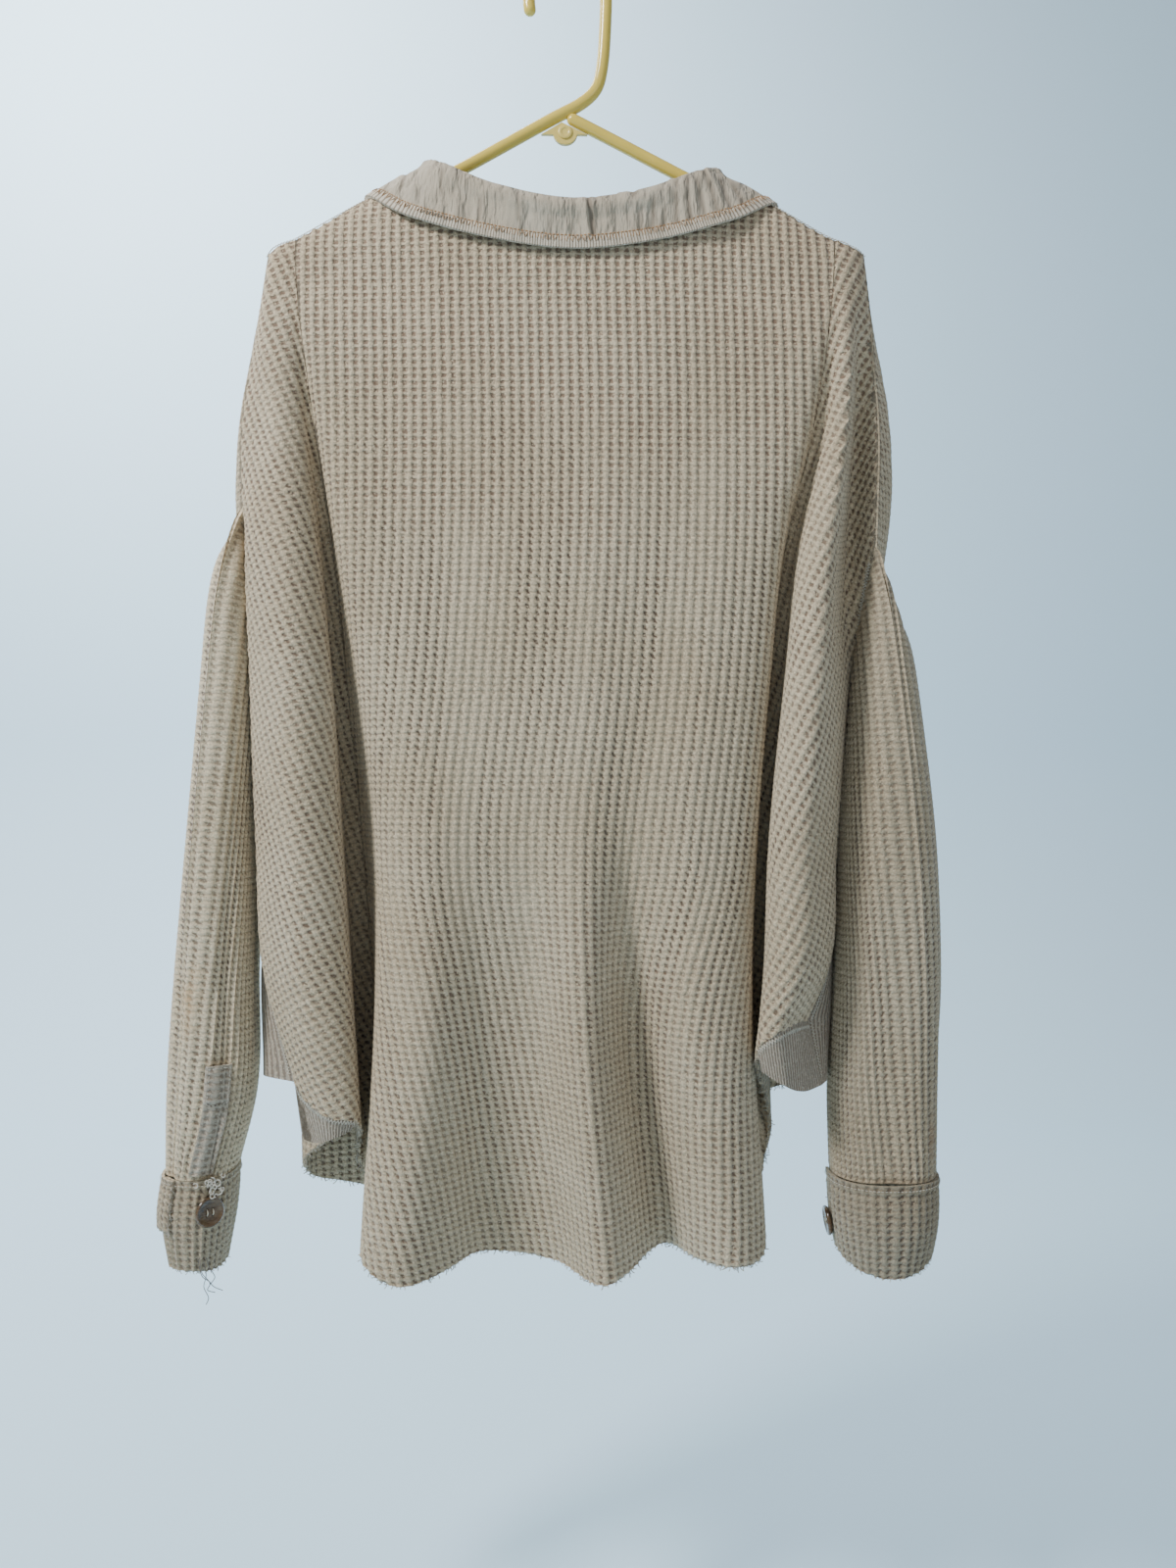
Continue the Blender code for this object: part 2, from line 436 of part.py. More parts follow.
def godet(name, back, first, last, hem, mat):
    """The rib insert under the back panel's raised corner, between two of its columns."""
    columns = [BACK_FOLDS[i][1] for i in range(len(BACK_FOLDS) - 1)]
    used = columns[:3] if first == 0 else columns[-3:]
    bottom = across(np.array(hem, float), used)[0 if first == 0 else GODET_RIGHT_START:]
    top = back.grid[-1, last + 1 - len(bottom):last + 1]
    grid = np.array([top + (bottom - top) * row / GODET_ROWS for row in range(GODET_ROWS + 1)])
    piece = Piece(name, grid, mat, RIB, -1)
    piece.seam(0, np.arange(grid.shape[1]))
    return piece


def gusset(name, back, front, godet_piece, godet_rows, on_left, middle, mat):
    """The rib strip from the underarm down, between the back's side edge and the front's."""
    side, near = (0, 0) if on_left else (-1, -1)
    start = row_of(UNDERARM)
    back_edge = np.vstack([back.grid[start:, side], godet_piece.grid[1:godet_rows + 1, side]])
    rows = len(back_edge)
    front_edge = front.grid[start:-2, 0]
    level = row_of(FAN_HEM_START) - start
    front_edge = np.vstack([front_edge[:level], resample(front_edge[level:], rows - level)])
    heights = np.linspace(0, 1, rows)
    line = np.array(middle, float)
    bulge = hermite((line[0, 2] - line[:, 2]) / (line[0, 2] - line[-1, 2]), line, heights)
    grid = np.array([across(np.array([back_edge[r], bulge[r], front_edge[r]]), [2, 2]) for r in range(rows)])
    piece = Piece(name, grid, mat, RIB, 1 if on_left else -1)
    piece.seam(np.arange(rows), 0)
    piece.seam(np.arange(rows), grid.shape[1] - 1)
    piece.seam(0, np.arange(grid.shape[1]))
    return piece


def section(table, heights, angles, folds):
    """Points of a sleeve or cuff at heights and angles round it: 0 is its outer side, pi / 2 the near one."""
    rows = np.array(table, float)
    outer, inner, near, far = hermite(-rows[:, 0], rows[:, 1:], -np.asarray(heights)).T
    c, s = np.cos(angles), np.sin(angles)
    x = (outer + inner) / 2 + (outer - inner) / 2 * np.sign(c) * np.abs(c) ** SQUARENESS
    y = (near + far) / 2 + (near - far) / 2 * np.sign(s) * np.abs(s) ** SQUARENESS
    for angle, width, depth, start, full in folds:
        turn = (angles - angle + pi) % (2 * pi) - pi
        grown = np.clip((start - heights) / (start - full), 0, 1)
        pull = depth * grown * grown * (3 - 2 * grown) * np.exp(-(turn / width) ** 2)
        x = x + pull * ((outer + inner) / 2 - x) / np.hypot(x - (outer + inner) / 2, y - (near + far) / 2)
        y = y + pull * ((near + far) / 2 - y) / np.hypot(x - (outer + inner) / 2, y - (near + far) / 2)
    return np.stack([x, y, np.asarray(heights) + 0 * x], axis=-1)


# Folds along the sleeves: angle round it, width in radians, depth, heights where the fold starts and is full
SLEEVE_FOLDS_LEFT = ((0.30 * pi, 0.25, 4, -640, -740), (0.66 * pi, 0.22, 3.5, -560, -700),
                     (1.45 * pi, 0.35, 6, -520, -680))
SLEEVE_FOLDS_RIGHT = ((0.02 * pi, 0.22, 7, -700, -800), (0.52 * pi, 0.28, 3, -560, -700),
                      (1.50 * pi, 0.35, 6, -520, -680))


def loop_angles(loop, table):
    """Where each point of the armhole lies round the sleeve's section at its own height."""
    rows = np.array(table, float)
    outer, inner, near, far = hermite(-rows[:, 0], rows[:, 1:], -loop[:, 2]).T
    across_x = (loop[:, 0] - (outer + inner) / 2) / ((outer - inner) / 2)
    across_y = (loop[:, 1] - (near + far) / 2) / ((near - far) / 2)
    power = 1 / SQUARENESS
    sine, cosine = (np.sign(v) * np.abs(v) ** power for v in (across_y, across_x))
    return np.unwrap(np.arctan2(sine, cosine))


def split(line, counts):
    """Adds even points on the straight runs of a line: counts[i] steps on run i."""
    points = [start + (end - start) * k / count
              for start, end, count in zip(line, line[1:], counts) for k in range(count)]
    return np.array(points + [line[-1]])


def sleeve(name, back, front, gusset_piece, on_left, table, top, end, folds, mat):
    """A tube whose top is the slanted armhole and whose other end is level."""
    side = 0 if on_left else -1
    back_edge = edge_down(back, side, top, UNDERARM)
    front_edge = edge_down(front, 0, top, UNDERARM)
    runs = len(back_edge) - 1
    back_edge = split(back_edge, BACK_SPLIT + (1,) * (runs - len(BACK_SPLIT)))
    front_edge = split(front_edge, FRONT_SPLIT + (1,) * (runs - len(FRONT_SPLIT)))
    loop = np.vstack([back_edge, gusset_piece.grid[0, 1:-1], front_edge[:0:-1]])
    start_angles = loop_angles(loop, table)
    count, under = len(loop), len(back_edge) + 1
    turn = np.sign(start_angles[under] - start_angles[0])
    even = np.concatenate([np.linspace(0.25, 1.0, under, endpoint=False),
                           np.linspace(1.0, 2.25, count - under, endpoint=False)]) * pi
    even = start_angles[under] + turn * (even - pi)
    grid = []
    offset = loop - section(table, loop[:, 2], start_angles, folds)
    for row in range(SLEEVE_ROWS + 1):
        share = row / SLEEVE_ROWS
        heights = loop[:, 2] + (end - loop[:, 2]) * share
        angles = start_angles + (even - start_angles) * share ** 0.6
        fade = np.exp(-(loop[:, 2] - heights) / SEAM_EASE)[:, None]
        ring = section(table, heights, angles, folds) + offset * fade
        grid.append(lie_on(ring, (back, front, gusset_piece), SLEEVE_CLEARANCE, SLEEVE_REACH))
    return Piece(name, np.array(grid), mat, CLOTH, -1 if on_left else 1, ring=True)


def cuff(name, table, start, hem, mat):
    """A band wound once round the wrist, whose outer end laps over the inner one, with an uneven hem."""
    turned = np.linspace(0, 2 * pi + CUFF_LAP, CUFF_COLUMNS + 1)
    step = (CLOTH + CUFF_LAP_GAP) / 2
    lift = step * (np.clip((turned - pi) / (0.8 * pi), 0, 1) - np.clip((pi - turned) / (0.8 * pi), 0, 1))
    hem = np.array(hem, float)
    low = hermite(hem[:, 0] * pi, hem[:, 1:], turned)[:, 0]
    grid = []
    for row in range(CUFF_ROWS + 1):
        heights = table[0][0] + (low - table[0][0]) * row / CUFF_ROWS
        ring = section(table, heights, start + turned, ())
        out = unit((ring - ring[:-3].mean(axis=0)) * (1, 1, 0))
        grid.append(ring + out * lift[:, None])
    piece = Piece(name, np.array(grid), mat, CLOTH, 1)
    if np.sum(piece.normals * (piece.grid - piece.grid.mean(axis=(0, 1)))) < 0:
        piece = Piece(name, piece.grid, mat, CLOTH, -1)
    return piece


def placket(name, table, sleeve_table, folds, side, mat):
    """A flat strip beside the slit above the cuff, on the sleeve's near side (1) or far side (-1)."""
    rows = np.array(table, float)
    heights = np.linspace(rows[0, 0], rows[-1, 0], 5)
    edges = hermite(-rows[:, 0], rows[:, 1:], -heights)
    lie = np.array(sleeve_table, float)
    grid = []
    for height, (left, right) in zip(heights, edges):
        outer, inner = hermite(-lie[:, 0], lie[:, 1:3], [-height])[0]
        points = []
        for x in np.linspace(left, right, 4):
            share = max(-1.0, min(1.0, (x - (outer + inner) / 2) / ((outer - inner) / 2)))
            points.append(side * acos(np.sign(share) * abs(share) ** (1 / SQUARENESS)))
        grid.append(section(sleeve_table, np.full(4, height), np.array(points), folds))
    piece = Piece(name, grid, mat, RIB, -side)
    piece.grid += piece.normals * (CLOTH / 2 + LAID_GAP + RIB / 2)
    return piece


def collar(pieces, neck, mat):
    """The collar's stand rises from the neck, folds over and falls outside: one folded cloth."""
    seam, fold, edge = (np.array([row[k] for row in COLLAR], float) for k in (1, 2, 3))
    steps = [16] * (len(COLLAR) - 1)
    out = np.array([(*row[4], 0) for row in COLLAR], float) * 100
    guide, fold, edge, out = (across(line, steps) for line in (seam, fold, edge, out))
    used = [int(np.argmin(np.sum((guide - point) ** 2, axis=1))) for point in neck]
    seam, fold, edge, outward = neck, fold[used], edge[used], unit(out[used])
    rows = [seam, seam + (fold - seam) * 0.5]
    for share, away, down in COLLAR_ROLL:
        rows.append(fold + (edge - fold) * share + outward * away - np.array((0, 0, down)))
    for row in range(4, len(rows)):
        rows[row] = lie_on(rows[row], pieces, COLLAR_CLEARANCE)
    piece = Piece("collar", np.array(rows), mat, RIB, 1)
    out = piece.normals[-1] * outward
    if out.sum() < 0:
        piece = Piece("collar", np.array(rows), mat, RIB, -1)
    return piece


def finer(grid, times):
    """A grid with its cells cut into times x times."""
    for axis in (0, 1):
        count = grid.shape[axis]
        at = np.linspace(0, count - 1, (count - 1) * times + 1)
        low = np.minimum(at.astype(int), count - 2)
        share = (at - low).reshape((-1, 1, 1) if axis == 0 else (1, -1, 1))
        grid = np.take(grid, low, axis) * (1 - share) + np.take(grid, low + 1, axis) * share
    return grid


def lie_on(points, pieces, clearance, reach=60.0):
    """Moves points out of the panels under them until they clear the panels' middle surface."""
    places = np.vstack([finer(piece.grid, 4).reshape(-1, 3) for piece in pieces])
    normals = unit(np.vstack([finer(piece.normals, 4).reshape(-1, 3) for piece in pieces]))
    moved = points.copy()
    for _ in range(3):
        for k, point in enumerate(moved):
            apart = np.sum((places - point) ** 2, axis=1)
            nearest = int(np.argmin(apart))
            above = np.dot(point - places[nearest], normals[nearest])
            if above < clearance and apart[nearest] < reach ** 2:
                moved[k] = point + normals[nearest] * (clearance - above)
    return moved


def front_band(left, right, mat):
    """The button band lies on both fronts' edges, from the neck to the hem."""
    places = np.linspace(BAND_LEFT, BAND_RIGHT, BAND_COLUMNS + 1)
    grid = []
    for row in range(left.grid.shape[0]):
        line = np.vstack([left.grid[row], right.grid[row, ::-1]])
        line = line[line[:, 0].argsort()]
        grid.append([(x, *(np.interp(x, line[:, 0], line[:, k]) for k in (1, 2))) for x in places])
    grid = np.array(grid)[[0] + list(range(4, left.grid.shape[0]))]
    piece = Piece("front_band", grid, mat, CLOTH, 1)
    piece.grid += piece.normals * (CLOTH + LAID_GAP)
    return piece


def button(name, centre, normal, mat):
    """A turned button with a raised rim, its back face on the cloth."""
    normal = unit(np.array(normal, float))
    side = unit(np.cross(normal, (0.0, 0.0, 1.0)))
    up = np.cross(side, normal)
    radius, thick = BUTTON_RADIUS, BUTTON_THICKNESS
    profile = ((radius * 0.9, 0.0), (radius, thick * 0.6), (radius * 0.85, thick), (radius * 0.68, thick * 0.72))
    sides = 14
    verts = [centre + normal * h + (side * cos(a) + up * sin(a)) * r
             for r, h in profile for a in np.arange(sides) * 2 * pi / sides]
    verts += [centre, centre + normal * thick * 0.72]
    faces = []
    for ring in range(len(profile) - 1):
        for k in range(sides):
            a, b = ring * sides + k, ring * sides + (k + 1) % sides
            faces.append((a, a + sides, b + sides, b))
    low, high = len(verts) - 2, len(verts) - 1
    for k in range(sides):
        faces.append((low, k, (k + 1) % sides))
        a = (len(profile) - 1) * sides
        faces.append((high, a + (k + 1) % sides, a + k))
    return mesh_object(name, verts, faces, mat)


def tube(name, path, mat, sides=10):
    """A round tube along a path in the plane y = 0, closed at both ends."""
    path = np.array([(x, 0.0, z) for x, z in path])
    along = unit(np.gradient(path, axis=0))
    across_path = np.cross(along, (0.0, 1.0, 0.0))
    verts, faces = [], []
    for point, flat in zip(path, across_path):
        for k in range(sides):
            turn = 2 * pi * k / sides
            verts.append(point + TUBE_RADIUS * (flat * cos(turn) + np.array((0, 1, 0)) * sin(turn)))
    for ring in range(len(path) - 1):
        for k in range(sides):
            a, b = ring * sides + k, ring * sides + (k + 1) % sides
            faces.append((a, a + sides, b + sides, b))
    faces.append(tuple(range(sides)))
    faces.append(tuple(len(verts) - 1 - k for k in range(sides)))
    return mesh_object(name, verts, faces, mat)


def smooth_path(points, spacing):
    """A path through points, with more points where it turns."""
    table = np.array(points, float)
    lengths = np.concatenate([[0], np.cumsum(np.linalg.norm(np.diff(table, axis=0), axis=1))])
    at = [lengths[0]]
    for a, b in zip(lengths[:-1], lengths[1:]):
        count = max(1, min(3, int(round((b - a) / spacing))))
        at += list(np.linspace(a, b, count + 1)[1:])
    return [tuple(p) for p in hermite(lengths, table, at)]


def rounded(corners, steps=4):
    """A path of straight runs between corners, each turned with an arc of its own radius."""
    points = np.array(corners, float)
    path = [tuple(points[0, :2])]
    for before, (x, z, radius), after in zip(points, points[1:], points[2:]):
        corner = np.array((x, z))
        back, ahead = unit(before[:2] - corner), unit(after[:2] - corner)
        half = acos(np.dot(back, ahead)) / 2
        centre = corner + unit(back + ahead) * radius / sin(half)
        first, last = (unit(corner + way * radius / tan(half) - centre) for way in (back, ahead))
        sweep = acos(np.dot(first, last))
        for share in np.linspace(0, 1, steps + 1):
            turned = (first * sin((1 - share) * sweep) + last * sin(share * sweep)) / sin(sweep)
            path.append(tuple(centre + turned * radius))
    return path + [tuple(points[-1, :2])]


def hanger(mat):
    hook = [(HOOK_RADIUS * cos(a), HOOK_CENTRE + HOOK_RADIUS * sin(a))
            for a in np.linspace(HOOK_FROM, HOOK_TO, 17)]
    tube("hanger_hook", hook + smooth_path(STEM + ARM_LEFT, 12), mat)
    tube("hanger_arm", smooth_path(ARM_RIGHT, 40), mat)
    tube("hanger_bar", rounded(BAR), mat)
    turns = np.linspace(BOSS_FROM, BOSS_TO, 13)
    low = [(BOSS_CENTRE[0] + BOSS_RADIUS * cos(a), BOSS_CENTRE[1] + BOSS_RADIUS * sin(a)) for a in turns]
    low = [(x, z) for x, z in low if z < WEB_TOP[0][1]]
    outline = list(WEB_TOP) + low
    half = WEB_THICKNESS / 2
    verts = [(x, -half, z) for x, z in outline] + [(x, half, z) for x, z in outline]
    count = len(outline)
    faces = [tuple(range(count - 1, -1, -1)), tuple(range(count, 2 * count))]
    faces += [(k, (k + 1) % count, count + (k + 1) % count, count + k) for k in range(count)]
    mesh_object("hanger_web", verts, faces, mat, smooth=False)


def panels(knit):
    """The back and the two fronts, which share the shoulder seams, with the columns where each seam ends."""
    back = Piece("back", panel(BACK_FOLDS), knit, CLOTH, -1)
    lefts, rights = panel(FRONT_LEFT_FOLDS), panel(FRONT_RIGHT_FOLDS)
    left_end = sum(count for _, count, _ in BACK_FOLDS[:7])
    right_end = sum(count for _, count, _ in FRONT_RIGHT_FOLDS[:6])
    lefts[0, :left_end + 1] = back.grid[0, :left_end + 1]
    rights[0, :right_end + 1] = back.grid[0, ::-1][:right_end + 1]
    front_left = Piece("front_left", lefts, knit, CLOTH, 1)
    front_right = Piece("front_right", rights, knit, CLOTH, -1)
    return back, front_left, front_right, left_end, right_end


def sides(back, front_left, front_right, left_end, right_end, rib):
    """The godets and gussets, with every seam of the body named and closed."""
    rows, columns = back.grid.shape[0] - 1, back.grid.shape[1] - 1
    left_lobe = sum(count for _, count, _ in BACK_FOLDS[:3])
    right_lobe = columns - sum(count for _, count, _ in BACK_FOLDS[18:21])
    godet_left = godet("godet_left", back, 0, left_lobe, GODET_HEM_LEFT, rib)
    godet_right = godet("godet_right", back, right_lobe, columns, GODET_HEM_RIGHT, rib)
    gusset_left = gusset("gusset_left", back, front_left, godet_left, GUSSET_MEETS_LEFT, True,
                         GUSSET_MIDDLE_LEFT, rib)
    gusset_right = gusset("gusset_right", back, front_right, godet_right, GUSSET_MEETS_RIGHT, False,
                          GUSSET_MIDDLE_RIGHT, rib)
    back.seam(0, np.arange(columns + 1))
    back.seam(np.arange(rows + 1), [0, columns])
    back.seam(rows, np.arange(left_lobe + 1))
    back.seam(rows, np.arange(right_lobe, columns + 1))
    godet_left.seam(np.arange(GUSSET_MEETS_LEFT + 1), 0)
    godet_right.seam(np.arange(GUSSET_MEETS_RIGHT + 1), godet_right.grid.shape[1] - 1)
    front_left.seam(0, np.arange(left_end + 1))
    front_right.seam(0, np.arange(right_end + 1))
    for front, strip in ((front_left, gusset_left), (front_right, gusset_right)):
        front.seam(np.arange(rows - 1), 0)
        match_edge(strip, strip.grid.shape[1] - 1, front, 0, row_of(UNDERARM), rows)
    strips = [godet_left, godet_right, gusset_left, gusset_right]
    close_seams([back, front_left, front_right] + strips)
    return strips


def neckline(back, front_left, front_right, left_end, right_end):
    """Points just above the neck's edge, from the left front's corner round the back to the right front's."""
    stretches = [(front_left, range(front_left.grid.shape[1] - 2, left_end, -1)),
                 (back, range(left_end, back.grid.shape[1] - right_end)),
                 (front_right, range(right_end + 1, front_right.grid.shape[1] - 1))]
    neck = np.array([piece.grid[0, c] + ((0, 0, 1) - inward(piece, 0, c, piece.normals[0, c]))
                     * (NECK_GAP if piece is back else FRONT_NECK_GAP)
                     for piece, used in stretches for c in used])
    return split(neck, [3 if point[2] > NECK_STEEP else 1 for point in neck[:-1]])


def cuff_buttons(cuffs, horn):
    for (side, place), cuff_piece in zip(CUFF_BUTTONS, cuffs):
        points = finer(cuff_piece.grid, 4).reshape(-1, 3)
        normals = unit(finer(cuff_piece.normals, 4).reshape(-1, 3))
        spot = int(np.argmin(np.sum((points - place) ** 2, axis=1)))
        lift = CLOTH / 2 + CUFF_BUTTON_GAP
        button("cuff_button_" + side, points[spot] + normals[spot] * lift, normals[spot], horn)


def front_buttons(band, horn):
    for number in range(FRONT_BUTTONS):
        height = FIRST_BUTTON - BUTTON_SPACING * number
        row = int(np.argmin(np.abs(band.grid[:, 1, 2] - height)))
        centre = (band.grid[row, 1] + band.grid[row, 2]) / 2
        normal = unit(band.normals[row, 1] + band.normals[row, 2])
        button("front_button_%d" % (number + 1), centre + normal * (CLOTH / 2 + BUTTON_GAP), normal, horn)


def build():
    for obj in list(bpy.data.objects):
        bpy.data.objects.remove(obj)
    knit = material("waffle knit", (0.42, 0.36, 0.30), 0.95)
    rib = material("fine rib", (0.52, 0.47, 0.40), 0.92)
    smooth_cloth = material("collar cloth", (0.47, 0.42, 0.36), 0.9)
    horn = material("horn button", (0.16, 0.09, 0.05), 0.45)
    plastic = material("hanger plastic", (0.80, 0.70, 0.38), 0.4)

    back, front_left, front_right, left_end, right_end = panels(knit)
    strips = sides(back, front_left, front_right, left_end, right_end, rib)
    sleeves = [sleeve("sleeve_left", back, front_left, strips[2], True, SLEEVE_LEFT, LEFT_TOP,
                      SLEEVE_END_LEFT, SLEEVE_FOLDS_LEFT, knit),
               sleeve("sleeve_right", back, front_right, strips[3], False, SLEEVE_RIGHT, RIGHT_TOP,
                      SLEEVE_END_RIGHT, SLEEVE_FOLDS_RIGHT, knit)]
    cuffs = [cuff("cuff_left", CUFF_LEFT, CUFF_START_LEFT, CUFF_HEM_LEFT, knit),
             cuff("cuff_right", CUFF_RIGHT, CUFF_START_RIGHT, CUFF_HEM_RIGHT, knit)]
    neck = neckline(back, front_left, front_right, left_end, right_end)
    band = front_band(front_left, front_right, knit)
    trims = [collar([back, front_left, front_right], neck, smooth_cloth), band,
             placket("sleeve_placket_left", PLACKET_LEFT, SLEEVE_LEFT, SLEEVE_FOLDS_LEFT, 1, rib),
             placket("sleeve_placket_right", PLACKET_RIGHT, SLEEVE_RIGHT, SLEEVE_FOLDS_RIGHT, -1, rib)]
    for piece in [back, front_left, front_right] + strips + sleeves + cuffs + trims:
        wall(piece)
    cuff_buttons(cuffs, horn)
    front_buttons(band, horn)
    hanger(plastic)


build()
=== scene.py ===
"""The looks of a waffle-knit shirt jacket on a plastic hanger, seen from its back.

The jacket hangs in the plane y = 0 from the origin, the inner top of the hanger's hook. X runs to the
viewer's right, Y away from the viewer and Z up. Sizes are in millimetres, and MM turns them into metres.
"""
from math import acos, cos, pi, radians, sin, tan

import bmesh
import bpy
import numpy as np
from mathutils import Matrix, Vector


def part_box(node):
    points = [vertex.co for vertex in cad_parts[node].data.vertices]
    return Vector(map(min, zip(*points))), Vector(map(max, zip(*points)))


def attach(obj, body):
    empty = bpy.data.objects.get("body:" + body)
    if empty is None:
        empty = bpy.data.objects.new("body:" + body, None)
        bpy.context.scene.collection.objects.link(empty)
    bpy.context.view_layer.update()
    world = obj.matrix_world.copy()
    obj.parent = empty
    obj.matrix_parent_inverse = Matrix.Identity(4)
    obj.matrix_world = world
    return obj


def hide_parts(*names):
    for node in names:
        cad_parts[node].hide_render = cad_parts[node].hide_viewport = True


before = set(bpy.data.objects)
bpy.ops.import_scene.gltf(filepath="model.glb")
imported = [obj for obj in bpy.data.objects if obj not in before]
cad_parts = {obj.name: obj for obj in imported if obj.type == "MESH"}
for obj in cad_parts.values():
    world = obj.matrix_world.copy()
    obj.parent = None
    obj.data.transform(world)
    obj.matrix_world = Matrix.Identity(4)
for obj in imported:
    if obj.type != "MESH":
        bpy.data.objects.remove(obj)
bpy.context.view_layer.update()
MM = 0.001

# ---- The back ------------------------------------------------------------------------------------
# One wide panel of chunky cotton waffle knit with a raw hem. It drops over the hanger's tips as two side
# folds, each behind a deep valley, and its middle waves towards the hem. The knit's ridges and bars are
# modelled.
CLOTH = 2.0                              # wall thickness under the relief
CELL_WIDTH, CELL_HEIGHT = 6.7, 4.8       # one waffle cell
RELIEF = 1.6                             # from a pocket's floor to a ridge's top
SUNK = 0.45                              # share of the relief that lies below the wall's face
EDGE_FADE = 3.0                          # the relief dies out this far from a sewn edge
PLACE_STEP, HEIGHT_STEP = 1.5, CELL_HEIGHT / 2   # steps at which a laid-out cloth is measured
SHARP = 1.2                              # radians: where faces turn by more, the edge stays sharp
LOBE_TILT = radians(24)                  # how far the grain leans in the two side folds
SHOULDER_END = -230.0                    # the cloth rounds over the hanger above this height
FAN_TOP_END, FAN_HEM_START = -290.0, -710.0      # rows fan out above the one and below the other
ROW_STEP, HEM_ROWS = 10.0, 20            # level rows down the middle, and rows of the fanned hem
TOP_FRACTIONS = (0.0, 0.01, 0.025, 0.05, 0.09, 0.14, 0.2, 0.3, 0.42, 0.56, 0.7, 0.85, 1.0)
LEFT_TOP, RIGHT_TOP, UNDERARM = -380.0, -410.0, -620.0   # the armholes' tops and feet
FINE = 8                                 # fine columns to each of a table's columns

# The shoulder seam beyond the hanger's tips, down to the top of each armhole: x, y, z
SEAM_LEFT = ((-210, 0, -203), (-214, 0, -230), (-221, -1, -275), (-228, -2, -320), (-229, 2, -380))
SEAM_RIGHT = ((208, 0, -203), (211, -1, -230), (214, -3, -275), (217, -6, -320), (215, -9, -410))

# Armhole and gusset edges. Each starts where the one above ends.
ARMHOLE_BACK_LEFT = ((-229, 2, -380), (-226, 10, -410), (-216, 25, -500), (-217, 20, -620))
ARMHOLE_FRONT_LEFT = ((-229, 2, -380), (-243, 18, -410), (-247, 34, -440), (-242, 47, -490),
                      (-228, 50, -560), (-212, 44, -620))
ARMHOLE_BACK_RIGHT = ((215, -9, -410), (209, 6, -450), (203, 20, -500), (196, 20, -560), (190, 16, -620))
ARMHOLE_FRONT_RIGHT = ((215, -9, -410), (225, 6, -440), (231, 27, -475), (228, 45, -520),
                       (213, 50, -560), (187, 44, -620))
SIDE_BACK_LEFT = ((-217, 20, -620), (-215, 17, -665), (-213, 12, -710), (-191, -6, -777))
SIDE_FRONT_LEFT = ((-212, 44, -620), (-211, 44, -710), (-204, 40, -770), (-160, -4, -818))
SIDE_BACK_RIGHT = ((190, 16, -620), (187, 13, -665), (183, 8, -710), (168, -2, -741))
SIDE_FRONT_RIGHT = ((187, 44, -620), (184, 42, -710), (181, 36, -790))

# Heights at which a fold line's places are given, where they don't state their own
LEVELS = (-230, -320, -410, -500, -620, -710)


def fold_at(top, hem, *places):
    """A fold line's points: its ends, and between them places at the lowest of the levels or at their own."""
    levels = LEVELS[-len(places):] + (0,) * len(places)
    return ((top, *[(*place, level)[:3] for place, level in zip(places, levels)], hem),)


